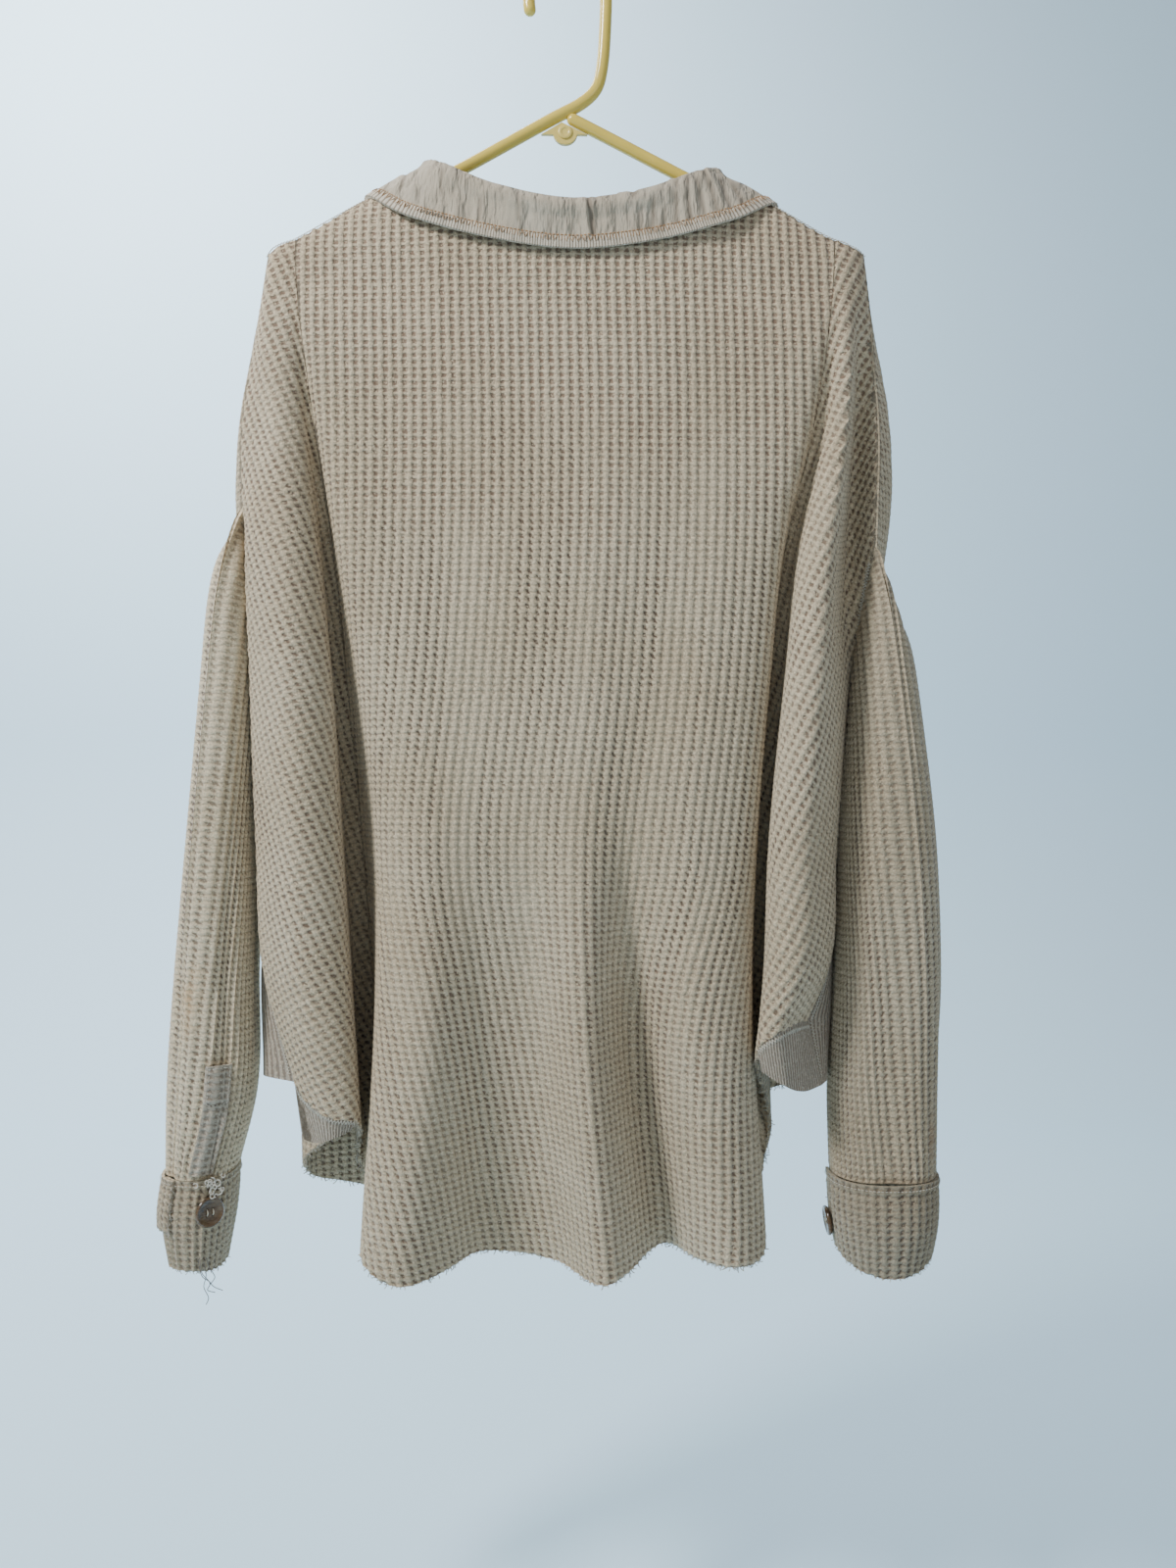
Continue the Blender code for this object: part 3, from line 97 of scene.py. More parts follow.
# The back, a row for each fold line: name, columns up to the next line, and its points
BACK_FOLDS = (
    ("left seam", 2, (SEAM_LEFT, ARMHOLE_BACK_LEFT, SIDE_BACK_LEFT)),
    ("left side", 2, fold_at((-205, 0, -199), (-184, -14, -789),
        (-207, -12), (-212, -14), (-222, -10), (-222, -2), (-219, 4), (-212, 0))),
    ("left lobe", 2, fold_at((-200, 0, -196), (-160, -31, -802),
        (-199, -13), (-198, -23), (-192, -30), (-188, -34), (-183, -36), (-178, -35))),
    ("left lobe edge", 2, fold_at((-197, 0, -195), (-145, -26, -806),
        (-193, -14), (-185, -18), (-175, -19), (-166, -20), (-159, -22), (-153, -23))),
    ("left valley", 1, fold_at((-193, 0, -193.5), (-152, 32, -850),
        (-190, -13), (-181, -11), (-173, 2), (-169, 17), (-162, 30), (-157, 34))),
    ("left valley end", 2, fold_at((-190, 0, -192.5), (-141, 30, -876),
        (-187, -13.5), (-176, -11), (-165, 2), (-158, 17), (-149, 31), (-143, 35))),
    ("left edge", 3, fold_at((-185, 0, -190), (-138, -30, -901),
        (-182, -15), (-168, -20), (-154, -21), (-139, -19), (-125, -21), (-126, -24))),
    ("first crest", 2, fold_at((-106, 0, -149.5), (-114, -42, -912),
        (-108, -20), (-112, -26), (-112, -29), (-108, -31), (-97, -34), (-95, -38))),
    ("neck left", 2, fold_at((-97, -10, -158.5), (-86, -22, -910),
        (-92, -22), (-90, -27), (-88, -29.5), (-85, -31), (-80, -32), (-76, -28))),
    ("first dip", 2, fold_at((-58, -17, -180), (-62, 8, -906),
        (-58, -24), (-60, -28), (-62, -30), (-66, -31), (-64, -29), (-58, -18))),
    ("first dip end", 3, fold_at((-16, -22, -192), (-10, 6, -911),
        (-17, -25), (-19, -29), (-21, -32), (-24, -32), (-27, -30), (-25, -17))),
    ("second crest", 3, fold_at((24, -22, -193), (27, -42, -911),
        (25, -25), (27, -30), (26, -33), (21, -34), (10, -36), (11, -42))),
    ("second dip", 2, fold_at((62, -18, -184), (68, 10, -901),
        (64, -24), (64, -28), (60, -30), (54, -30), (43, -25), (43, -8))),
    ("neck right", 2, fold_at((103, -10, -165), (92, -26, -900),
        (96, -22), (94, -26), (88, -29), (80, -30), (68, -29), (66, -24))),
    ("third crest", 3, fold_at((112, 0, -154.5), (112, -40, -900),
        (114, -20), (114, -25), (109, -28), (101, -30), (89, -31), (87, -35))),
    ("right edge", 2, fold_at((182, 0, -191), (133, -24, -899),
        (178, -14), (166, -19), (146, -18), (137, -16), (128, -14), (124, -17))),
    ("right valley", 1, fold_at((187, 0, -193), (139, 30, -865),
        (184, -13.5), (172, -10), (153, 4), (144, 16), (134, 27), (132, 32))),
    ("right valley end", 2, fold_at((190, 0, -194), (147, 29, -825),
        (188, -13), (179, -9), (161, 4), (154, 16), (145, 27), (143, 32))),
    ("right lobe edge", 2, fold_at((193, 0, -195), (131, -27, -757),
        (192, -14), (185, -19), (165, -22), (154, -26), (142, -29), (138, -29))),
    ("right lobe", 2, fold_at((197, 0, -197), (143, -33, -744),
        (196, -12), (192, -22), (179, -31), (170, -36), (160, -38), (155, -36))),
    ("right crease", 2, fold_at((202, 0, -199), (160, -12, -740),
        (203, -9, -230), (204, -1, -280), (204, 6, -320), (200, 12, -410), (195, 4, -500), (187, -2, -620),
        (178, -6, -710))),
    ("right seam", 0, (SEAM_RIGHT, ARMHOLE_BACK_RIGHT, SIDE_BACK_RIGHT)),
)

# The fronts, each from its side seam to the centre. The first lines meet the back's along the shoulder.
FRONT_LEFT_FOLDS = (
    ("seam", 2, (SEAM_LEFT, ARMHOLE_FRONT_LEFT, SIDE_FRONT_LEFT)),
    ("side", 2, fold_at((-205, 0, -199), (-190, 24, -846),
        (-214, 12, -230), (-233, 16, -320), (-238, 26, -380), (-232, 42, -440), (-220, 55, -500),
        (-204, 54, -620), (-202, 53, -710))),
    ("corner", 2, fold_at((-200, 0, -196), (-188, 50, -866),
        (-210, 15), (-226, 30), (-226, 54), (-206, 66), (-192, 62), (-192, 62))),
    ("outer dip", 2, fold_at((-197, 0, -195), (-172, 60, -872),
        (-200, 17), (-208, 38), (-202, 56), (-188, 62), (-178, 62), (-176, 62))),
    ("outer crest", 3, fold_at((-193, 0, -193.5), (-150, 66, -878),
        (-186, 19), (-186, 40), (-178, 56), (-166, 66), (-158, 68), (-156, 68))),
    ("dip", 3, fold_at((-185, 0, -190), (-120, 58, -884),
        (-158, 21), (-152, 40), (-142, 52), (-134, 58), (-126, 60), (-124, 60))),
    ("neck point", 2, fold_at((-106, 0, -149.5), (-90, 65, -887),
        (-112, 25), (-112, 42), (-106, 56), (-100, 64), (-96, 67), (-94, 67))),
    ("neck side", 2, fold_at((-97, 10, -160), (-70, 64, -888),
        (-94, 28), (-92, 43), (-84, 56), (-78, 63), (-74, 66), (-72, 66))),
    ("neck", 2, fold_at((-74, 28, -212), (-48, 58, -888),
        (-73, 32), (-70, 44), (-62, 54), (-56, 60), (-52, 61), (-50, 60))),
    ("centre dip", 2, fold_at((-34, 38, -250), (-18, 62, -888),
        (-33, 46), (-28, 54), (-24, 60), (-22, 63), (-20, 63))),
    ("centre", 0, fold_at((14.8, 40, -258), (14.8, 60, -886),
        (14.8, 47), (14.8, 54), (14.8, 59), (14.8, 61), (14.8, 61))),
)
FRONT_RIGHT_FOLDS = (
    ("seam", 2, (SEAM_RIGHT, ARMHOLE_FRONT_RIGHT, SIDE_FRONT_RIGHT)),
    ("side", 2, fold_at((202, 0, -199), (177, 48, -795),
        (211, 12, -230), (229, 16, -320), (231, 22, -380), (224, 38, -440), (212, 52, -500),
        (180, 53, -620), (176, 52, -710))),
    ("corner", 2, fold_at((197, 0, -197), (168, 60, -799),
        (208, 14), (222, 30), (219, 50), (199, 66), (170, 62), (166, 62))),
    ("outer dip", 2, fold_at((193, 0, -195), (156, 62, -802),
        (199, 17), (206, 38), (200, 56), (182, 62), (158, 62), (154, 62))),
    ("outer crest", 3, fold_at((190, 0, -194), (140, 66, -812),
        (188, 19), (186, 40), (178, 56), (163, 66), (144, 68), (140, 68))),
    ("dip", 3, fold_at((182, 0, -191), (116, 58, -850),
        (162, 21), (154, 40), (144, 52), (132, 58), (120, 60), (118, 60))),
    ("neck point", 2, fold_at((112, 0, -154.5), (97, 65, -872),
        (118, 24), (118, 42), (112, 56), (106, 64), (100, 67), (98, 67))),
    ("neck side", 2, fold_at((103, 10, -165), (76, 64, -880),
        (100, 28), (98, 43), (92, 56), (86, 63), (80, 66), (78, 66))),
    ("neck", 2, fold_at((82, 28, -214), (60, 58, -884),
        (82, 32), (80, 44), (74, 54), (68, 60), (64, 61), (62, 60))),
    ("centre dip", 2, fold_at((46, 38, -250), (36, 62, -887),
        (46, 46), (44, 54), (40, 60), (38, 63), (37, 63))),
    ("centre", 0, fold_at((15.2, 40, -258), (15.2, 60, -886),
        (15.2, 47), (15.2, 54), (15.2, 59), (15.2, 61), (15.2, 61))),
)


def unit(v):
    """Directions of length 1."""
    return v / np.maximum(np.linalg.norm(v, axis=-1, keepdims=True), 1e-9)


def run_along(line):
    """How far each point of a line lies along it."""
    return np.concatenate([[0], np.cumsum(np.linalg.norm(np.diff(line, axis=0), axis=1))])


def normals_of(grid):
    """The directions square to a surface given as a grid of points."""
    return unit(np.cross(np.gradient(grid, axis=1), np.gradient(grid, axis=0)))


def hermite(knots, values, at):
    """A smooth curve through values at rising knots, with tangents from the neighbours on each side."""
    knots, values, at = np.asarray(knots, float), np.asarray(values, float), np.atleast_1d(at).astype(float)
    slopes = np.diff(values, axis=0) / np.diff(knots)[:, None]
    steps = np.diff(knots)
    tangents = np.empty_like(values)
    tangents[0], tangents[-1] = slopes[0], slopes[-1]
    weighted = slopes[:-1] * steps[1:, None] + slopes[1:] * steps[:-1, None]
    tangents[1:-1] = weighted / (steps[:-1] + steps[1:])[:, None]
    span = np.clip(np.searchsorted(knots, at, side="right") - 1, 0, len(knots) - 2)
    width = steps[span][:, None]
    t = ((at - knots[span]) / steps[span])[:, None]
    return ((1 + 2 * t) * (1 - t) ** 2 * values[span] + t * (1 - t) ** 2 * width * tangents[span]
            + t * t * (3 - 2 * t) * values[span + 1] + t * t * (t - 1) * width * tangents[span + 1])


def down_line(points, heights):
    """Points of one fold line at the given heights; near the shoulder it rounds over the hanger's arm."""
    table = np.array(points, float)
    heights = np.clip(heights, table[-1, 2], table[0, 2])
    found = np.column_stack([hermite(-table[:, 2], table[:, :2], -heights), heights])
    top_y, top_z = table[0, 1], table[0, 2]
    if top_z > SHOULDER_END + 1:
        below = np.clip((top_z - heights) / (top_z - SHOULDER_END), 0, 1)
        round_y = top_y + (table[1, 1] - top_y) * np.sqrt(1 - (1 - below) ** 2)
        found[:, 1] = np.where(below < 1, round_y, found[:, 1])
    return found


def fold_rows(parts):
    """The rows of one fold line, whose parts follow one another down the cloth."""
    top, hem = parts[0][0][2], parts[-1][-1][2]
    level = np.arange(FAN_TOP_END - ROW_STEP, FAN_HEM_START - 1, -ROW_STEP)
    heights = np.concatenate([top + (FAN_TOP_END - top) * np.array(TOP_FRACTIONS), level,
                              FAN_HEM_START + (hem - FAN_HEM_START) * np.arange(1, HEM_ROWS + 1) / HEM_ROWS])
    found = np.empty((len(heights), 3))
    for part in parts:
        inside = (heights <= part[0][2] + 1e-6) & (heights >= part[-1][2] - 1e-6)
        found[inside] = down_line(part, heights[inside])
    return found


def across(points, columns):
    """A smooth curve through one row's points, cut into the given number of columns between each two."""
    gaps = np.sqrt(np.maximum(np.linalg.norm(np.diff(points, axis=0), axis=1), 0.5))
    knots = np.concatenate([[0], np.cumsum(gaps)])
    at = [np.linspace(knots[i], knots[i + 1], columns[i], endpoint=False) for i in range(len(gaps))]
    return hermite(knots, points, np.concatenate(at + [knots[-1:]]))


def panel(folds):
    """The middle surface of a panel, with fine columns between its fold lines, and where each line lies."""
    lines = np.array([fold_rows(parts) for _, _, parts in folds])
    columns = [count * FINE for _, count, _ in folds[:-1]]
    starts = np.concatenate([[0], np.cumsum(columns)])
    return np.array([across(lines[:, row], columns) for row in range(lines.shape[1])]), starts


def at_places(places, known, line):
    """Points of a line at places, from the known place of each of its own points."""
    return np.column_stack([np.interp(places, known, line[:, k]) for k in range(3)])


def at_heights(line, heights):
    """Points of a line that runs downwards, at given heights."""
    drop = np.maximum.accumulate(-line[:, 2] + np.arange(len(line)) * 1e-7)
    return at_places(-heights, drop, line)


def lay_flat(grid, zero=0, width=None):
    """Cuts a surface at level heights and measures along each cut, to find the point of a place on the cloth.

    Distances run from the zero column, or evenly over the whole width where it is given. Returns the heights,
    the distances, the points at each, and the distances of the two side edges, of the top edge and of the
    hem."""
    heights = np.arange(grid[..., 2].max(), grid[..., 2].min() - HEIGHT_STEP, -HEIGHT_STEP)
    level = np.stack([at_heights(grid[:, c], heights) for c in range(grid.shape[1])], axis=1)
    if width is None:
        run = np.cumsum(np.linalg.norm(np.diff(level, axis=1), axis=2), axis=1)
        run = np.concatenate([np.zeros((len(heights), 1)), run], axis=1)
        run -= run[:, [zero]]
        # Over the hanger, where a level cut hardly meets the cloth, the straight distance takes over.
        turn = np.sign(grid[0, -1, 0] - grid[0, 0, 0])
        straight = (level[..., 0] - level[:, [zero], 0]) * turn
        above = np.clip((heights - SHOULDER_END + 30) / 45, 0, 1)[:, None]
        run = run * (1 - above) + straight * above
        run = np.maximum.accumulate(run + np.arange(run.shape[1]) * 1e-6, axis=1)
    else:
        run = np.tile(np.arange(grid.shape[1]) * (width / (grid.shape[1] - 1)), (len(heights), 1))
    places = np.arange(run.min(), run.max() + PLACE_STEP, PLACE_STEP)
    points = np.array([at_places(places, *row) for row in zip(run, level)])
    tops, hems = grid[0, :, 2], grid[-1, :, 2]
    top_run = np.array([np.interp(-tops[c], -heights, run[:, c]) for c in range(len(tops))])
    hem_run = np.array([np.interp(-hems[c], -heights, run[:, c]) for c in range(len(hems))])
    return {"heights": heights, "places": places, "points": points, "left": run[:, 0], "right": run[:, -1],
            "top": (top_run, tops), "hem": (hem_run, hems), "normals": facing(points)}


def facing(points):
    """Normals of a table of points; where the cloth ends they carry on from the nearest place."""
    found = np.cross(np.gradient(points, axis=1), np.gradient(points, axis=0))
    size = np.linalg.norm(found, axis=2)
    known = size > 0.15                  # square millimetres; what is smaller has collapsed
    found = unit(found)
    for axis in (0, 1):
        lines = found if axis == 1 else found.transpose(1, 0, 2)
        marks = known if axis == 1 else known.T
        for line, mark in zip(lines, marks):
            if mark.any() and not mark.all():
                at = np.arange(len(mark))
                for k in range(3):
                    line[:, k] = np.interp(at, at[mark], line[mark, k])
        if axis == 0:
            known = known | known.any(axis=0)[None, :]
    for _ in range(3):
        padded = np.pad(found, ((1, 1), (1, 1), (0, 0)), mode="edge")
        found = unit(padded[:-2, 1:-1] + padded[2:, 1:-1] + padded[1:-1, :-2] + padded[1:-1, 2:] + found * 2)
    return found


def look_up(flat, table, run, height):
    """Values of a table at places on the cloth."""
    rows = np.clip((flat["heights"][0] - height) / HEIGHT_STEP, 0, len(flat["heights"]) - 1.001)
    cols = np.clip((run - flat["places"][0]) / PLACE_STEP, 0, len(flat["places"]) - 1.001)
    r, c = rows.astype(int), cols.astype(int)
    fr, fc = (rows - r)[..., None], (cols - c)[..., None]
    return ((table[r, c] * (1 - fc) + table[r, c + 1] * fc) * (1 - fr)
            + (table[r + 1, c] * (1 - fc) + table[r + 1, c + 1] * fc) * fr)


# One cell of each knit: its columns and rows as shares of it, and each row's heights as shares of the relief
WAFFLE = {"columns": (0.0, 0.32, 0.68), "rows": (0.0, 0.5), "heights": ((1.0, 0.45, 0.45), (0.85, 0.0, 0.0))}
SOFT_WAFFLE = {"columns": (0.0, 0.5), "rows": (0.0, 0.5), "heights": ((1.0, 0.4), (0.85, 0.0))}


def quads_of(rows, cols):
    """The numbers of a grid's points, and the four corners of each of its faces."""
    index = np.arange(rows * cols).reshape(rows, cols)
    return index, np.stack([index[:-1, :-1], index[:-1, 1:], index[1:, 1:], index[1:, :-1]], axis=-1)


def knit(flat, outward, tilt=0.0, cell=(CELL_WIDTH, CELL_HEIGHT), pattern=WAFFLE, relief=RELIEF,
         thickness=CLOTH, raw_hem=True, tube=False, coarse=2):
    """A closed stretch of knit on a laid-out surface: relief outside, a plain inside and the rim between."""
    steps_x, steps_y = np.array(pattern["columns"]), np.array(pattern["rows"])
    low, high = flat["left"].min(), flat["right"].max()
    foot, head = flat["heights"][-1], flat["heights"][0]
    if tilt == 0:
        middle = (0.0, head)
        xs = np.arange(np.floor(low / cell[0] + 1e-6), np.ceil(high / cell[0] - 1e-6) + 1)
        ys = np.arange(0, np.ceil((head - foot) / cell[1]) + 1)
    else:
        middle = ((low + high) / 2, (foot + head) / 2)
        half_x, half_y = (high - low) / 2, (head - foot) / 2
        cells_x = int(np.ceil((half_x * cos(tilt) + half_y * abs(sin(tilt))) / cell[0])) + 1
        cells_y = int(np.ceil((half_x * abs(sin(tilt)) + half_y * cos(tilt)) / cell[1])) + 1
        xs, ys = np.arange(-cells_x, cells_x + 1), np.arange(-cells_y, cells_y + 1)
    cols, rows = (xs[:, None] + steps_x).ravel(), (ys[:, None] + steps_y).ravel()
    heights = np.tile(np.array(pattern["heights"]), (len(ys), len(xs)))

    x, y = cols[None, :] * cell[0], rows[:, None] * cell[1]
    run = middle[0] + x * cos(tilt) + y * sin(tilt)
    height = middle[1] + x * sin(tilt) - y * cos(tilt)
    left = np.interp(-height, -flat["heights"], flat["left"])
    right = np.interp(-height, -flat["heights"], flat["right"])
    past = [run < left, run > right]
    run = np.clip(run, left, right)
    past += [height > np.interp(run, *flat["top"]), height < np.interp(run, *flat["hem"])]
    to_edge = np.interp(run, *flat["top"]) - height
    if not tube:
        to_edge = np.minimum(to_edge, np.minimum(run - left, right - run))
    if not raw_hem:
        to_edge = np.minimum(to_edge, height - np.interp(run, *flat["hem"]))
    fade = np.clip(to_edge / EDGE_FADE, 0.0, 1.0)
    points = look_up(flat, flat["points"], run, height)
    normals = unit(look_up(flat, flat["normals"], run, height)) * outward
    lift = thickness / 2 + relief * (heights * fade - SUNK * fade)
    outer = (points + normals * lift[..., None]).reshape(-1, 3)
    inner = (points - normals * thickness / 2).reshape(-1, 3)

    index, quads = quads_of(len(rows), len(cols))
    corners = outer[quads]
    span = np.cross(corners[..., 2, :] - corners[..., 0, :], corners[..., 3, :] - corners[..., 1, :])
    whole = np.linalg.norm(span, axis=2) > 0.02
    for side in past:
        whole &= ~(side[:-1, :-1] & side[:-1, 1:] & side[1:, 1:] & side[1:, :-1])
    rough = np.round(outer * 50).astype(np.int64)        # points within a fiftieth of a millimetre are one
    _, firsts, ids = np.unique(rough, axis=0, return_index=True, return_inverse=True)
    ids, count = ids.ravel(), len(firsts)

    def face(corners):
        """The corners' merged points, or nothing where the face has collapsed."""
        kept = [int(v) for k, v in enumerate(corners) if v != corners[k - 1]]
        return kept if len(kept) >= 3 and len(set(kept)) == len(kept) else None

    made = {}
    for i, j in np.argwhere(whole):
        found = face(ids[quads[i, j]])
        if found:
            made[(int(i), int(j))] = found
    faces = [found[::-1] if outward < 0 else found for found in made.values()]
    inside = inside_faces(made, whole, ids, index, len(steps_y) * coarse, len(steps_x) * coarse)
    faces += [[v + count for v in (found if outward < 0 else found[::-1])] for found in inside]
    edges = {edge for found in faces[:len(made)] for edge in zip(found, found[1:] + found[:1])}
    faces += [[b, a, a + count, b + count] for a, b in sorted(edges) if (b, a) not in edges]

    used = np.unique(np.concatenate([np.array(found) for found in faces]))
    places = np.full(2 * count, -1)
    places[used] = np.arange(len(used))
    faces = [[int(places[v]) for v in found] for found in faces]
    uvs = np.stack(np.broadcast_arrays(cols[None, :], rows[:, None]), axis=-1).reshape(-1, 2)[firsts]
    return np.vstack([outer[firsts], inner[firsts]])[used], faces, np.vstack([uvs, uvs])[used]


def inside_faces(made, whole, ids, index, block_rows, block_cols):
    """The plain inside: large faces in the middle, and fine ones along the edges, where the rim is."""
    blocks_down, blocks_across = whole.shape[0] // block_rows, whole.shape[1] // block_cols
    full = np.zeros((blocks_down + 2, blocks_across + 2), bool)
    for r in range(blocks_down):
        for c in range(blocks_across):
            rows = range(r * block_rows, (r + 1) * block_rows)
            cols = range(c * block_cols, (c + 1) * block_cols)
            full[r + 1, c + 1] = all(len(made.get((i, j), ())) == 4 for i in rows for j in cols)
    found = [corners for (i, j), corners in made.items()
             if i // block_rows >= blocks_down or j // block_cols >= blocks_across
             or not full[i // block_rows + 1, j // block_cols + 1]]
    for r, c in np.argwhere(full):
        top, left = (r - 1) * block_rows, (c - 1) * block_cols
        low, right = top + block_rows, left + block_cols
        runs = ((index[top, left:right], full[r - 1, c]), (index[top:low, right], full[r, c + 1]),
                (index[low, right:left:-1], full[r + 1, c]), (index[low:top:-1, left], full[r, c - 1]))
        found.append([int(v) for run, plain in runs for v in ids[run[:1] if plain else run]])
    return found


def mesh_of(name, points, faces, mats=(), which=None, sharp=None):
    """A smooth mesh of points in millimetres; which gives a material's number for each face."""
    mesh = bpy.data.meshes.new(name)
    mesh.from_pydata((np.array(points) * MM).tolist(), [], faces)
    for mat in mats:
        mesh.materials.append(mat)
    if which is not None:
        mesh.polygons.foreach_set("material_index", which)
    mesh.shade_smooth()
    if sharp:
        mesh.set_sharp_from_angle(angle=sharp)
    return mesh


def placed(name, data):
    """A new object in the scene."""
    obj = bpy.data.objects.new(name, data)
    bpy.context.collection.objects.link(obj)
    return obj


def add_piece(name, mesh, node=None):
    """A piece that rides on the hanger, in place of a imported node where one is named."""
    obj = placed(name, mesh)
    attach(obj, "root")
    if node:
        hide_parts(node)
    return obj


def mesh_piece(name, stretches, mat):
    """One piece from stretches of cloth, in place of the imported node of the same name."""
    faces, start = [], 0
    for part in stretches:
        faces += [[v + start for v in face] for face in part[1]]
        start += len(part[0])
    verts, uvs = (np.vstack([part[k] for part in stretches]) for k in (0, 2))
    mesh = mesh_of(name, verts, faces, [mat], sharp=SHARP)
    layer = mesh.uv_layers.new(name="cell")
    corner = np.empty(len(mesh.loops), int)
    mesh.loops.foreach_get("vertex_index", corner)
    layer.uv.foreach_set("vector", uvs[corner].astype(np.float32).ravel())
    mesh.validate()
    return add_piece(name, mesh, name.replace("_cloth", ""))


class Nodes:
    """Adds nodes to a tree; each call feeds a new node with values or other nodes' outputs."""

    def feed(self, socket, value):
        if isinstance(value, bpy.types.NodeSocket):
            self.tree.links.new(value, socket)
        else:
            socket.default_value = (*value, 1.0) if socket.type == "RGBA" and len(value) == 3 else value

    def add(self, kind, inputs=(), output=0, **settings):
        node = self.tree.nodes.new(kind)
        for key, value in settings.items():
            setattr(node, key, value)
        for key, value in dict(inputs).items():
            self.feed(node.inputs[key], value)
        return node.outputs[output]


class Shader(Nodes):
    """A material under construction. Each call returns the output of what it adds."""

    def __init__(self, name):
        self.material = bpy.data.materials.new(name)
        self.material.use_nodes = True
        self.tree = self.material.node_tree
        self.principled = self.tree.nodes["Principled BSDF"]

    def coordinates(self, output, scale=(1, 1, 1)):
        place = self.add("ShaderNodeTexCoord", output=output)
        return self.add("ShaderNodeMapping", {"Vector": place, "Scale": scale})

    def attribute(self, name):
        return self.add("ShaderNodeAttribute", output="Fac", attribute_name=name)

    def noise(self, vector, scale, detail=3.0, rough=0.5, low=0.35, high=0.65):
        sizes = {"Vector": vector, "Scale": scale, "Detail": detail, "Roughness": rough}
        return self.between(self.add("ShaderNodeTexNoise", sizes, "Fac"), low, high)

    def between(self, value, low, high):
        """0 below the low value, 1 above the high one, and smooth in between."""
        ends = {"Value": value, "From Min": low, "From Max": high}
        return self.add("ShaderNodeMapRange", ends, "Result", interpolation_type="SMOOTHSTEP")

    def math(self, operation, a, b=0.0):
        return self.add("ShaderNodeMath", {0: a, 1: b}, operation=operation)

    def times(self, a, b):
        return self.math("MULTIPLY", a, b)

    def plus(self, a, b):
        return self.math("ADD", a, b)

    def minus(self, a, b):
        return self.math("SUBTRACT", a, b)

    def most(self, a, b):
        return self.math("MAXIMUM", a, b)

    def wave(self, turns):
        return self.math("COSINE", self.times(turns, 2 * pi))

    def mix(self, share, a, b):
        return self.add("ShaderNodeMix", {0: share, 6: a, 7: b}, 2, data_type="RGBA")

    def split(self, vector):
        return self.add("ShaderNodeSeparateXYZ", {0: vector}).node.outputs[:]

    def spot(self, vector, centre, size, soft=1.0, turn=0.0):
        """1 inside a soft ellipsoid about a place on the object, 0 outside."""
        form = {"Vector": vector, "Location": [MM * c for c in centre], "Scale": [MM * s for s in size],
                "Rotation": (0, turn, 0)}
        inside = self.add("ShaderNodeMapping", form, vector_type="TEXTURE")
        length = self.add("ShaderNodeVectorMath", {0: inside}, "Value", operation="LENGTH")
        return self.minus(1.0, self.between(length, 1.0 - soft, 1.0))

    def bump(self, height, distance, strength, normal=None):
        form = {"Height": height, "Distance": distance, "Strength": strength}
        if normal is not None:
            form["Normal"] = normal
        return self.add("ShaderNodeBump", form, "Normal")

    def finish(self, colour, roughness, normal=None, sheen=0.0):
        values = {"Base Color": colour, "Roughness": roughness, "Specular IOR Level": 0.25,
                  "Sheen Weight": sheen, "Sheen Roughness": 0.6}
        if normal is not None:
            values["Normal"] = normal
        for key, value in values.items():
            self.feed(self.principled.inputs[key], value)
        return self.material


def toned(colour, share):
    """A colour times a share, or times a share for each of red, green and blue."""
    shares = share if isinstance(share, tuple) else (share,) * 3
    return tuple(min(1.0, c * s) for c, s in zip(colour, shares))


SLIT_SLANT = -0.34                       # of a column's width, over the height of one cell


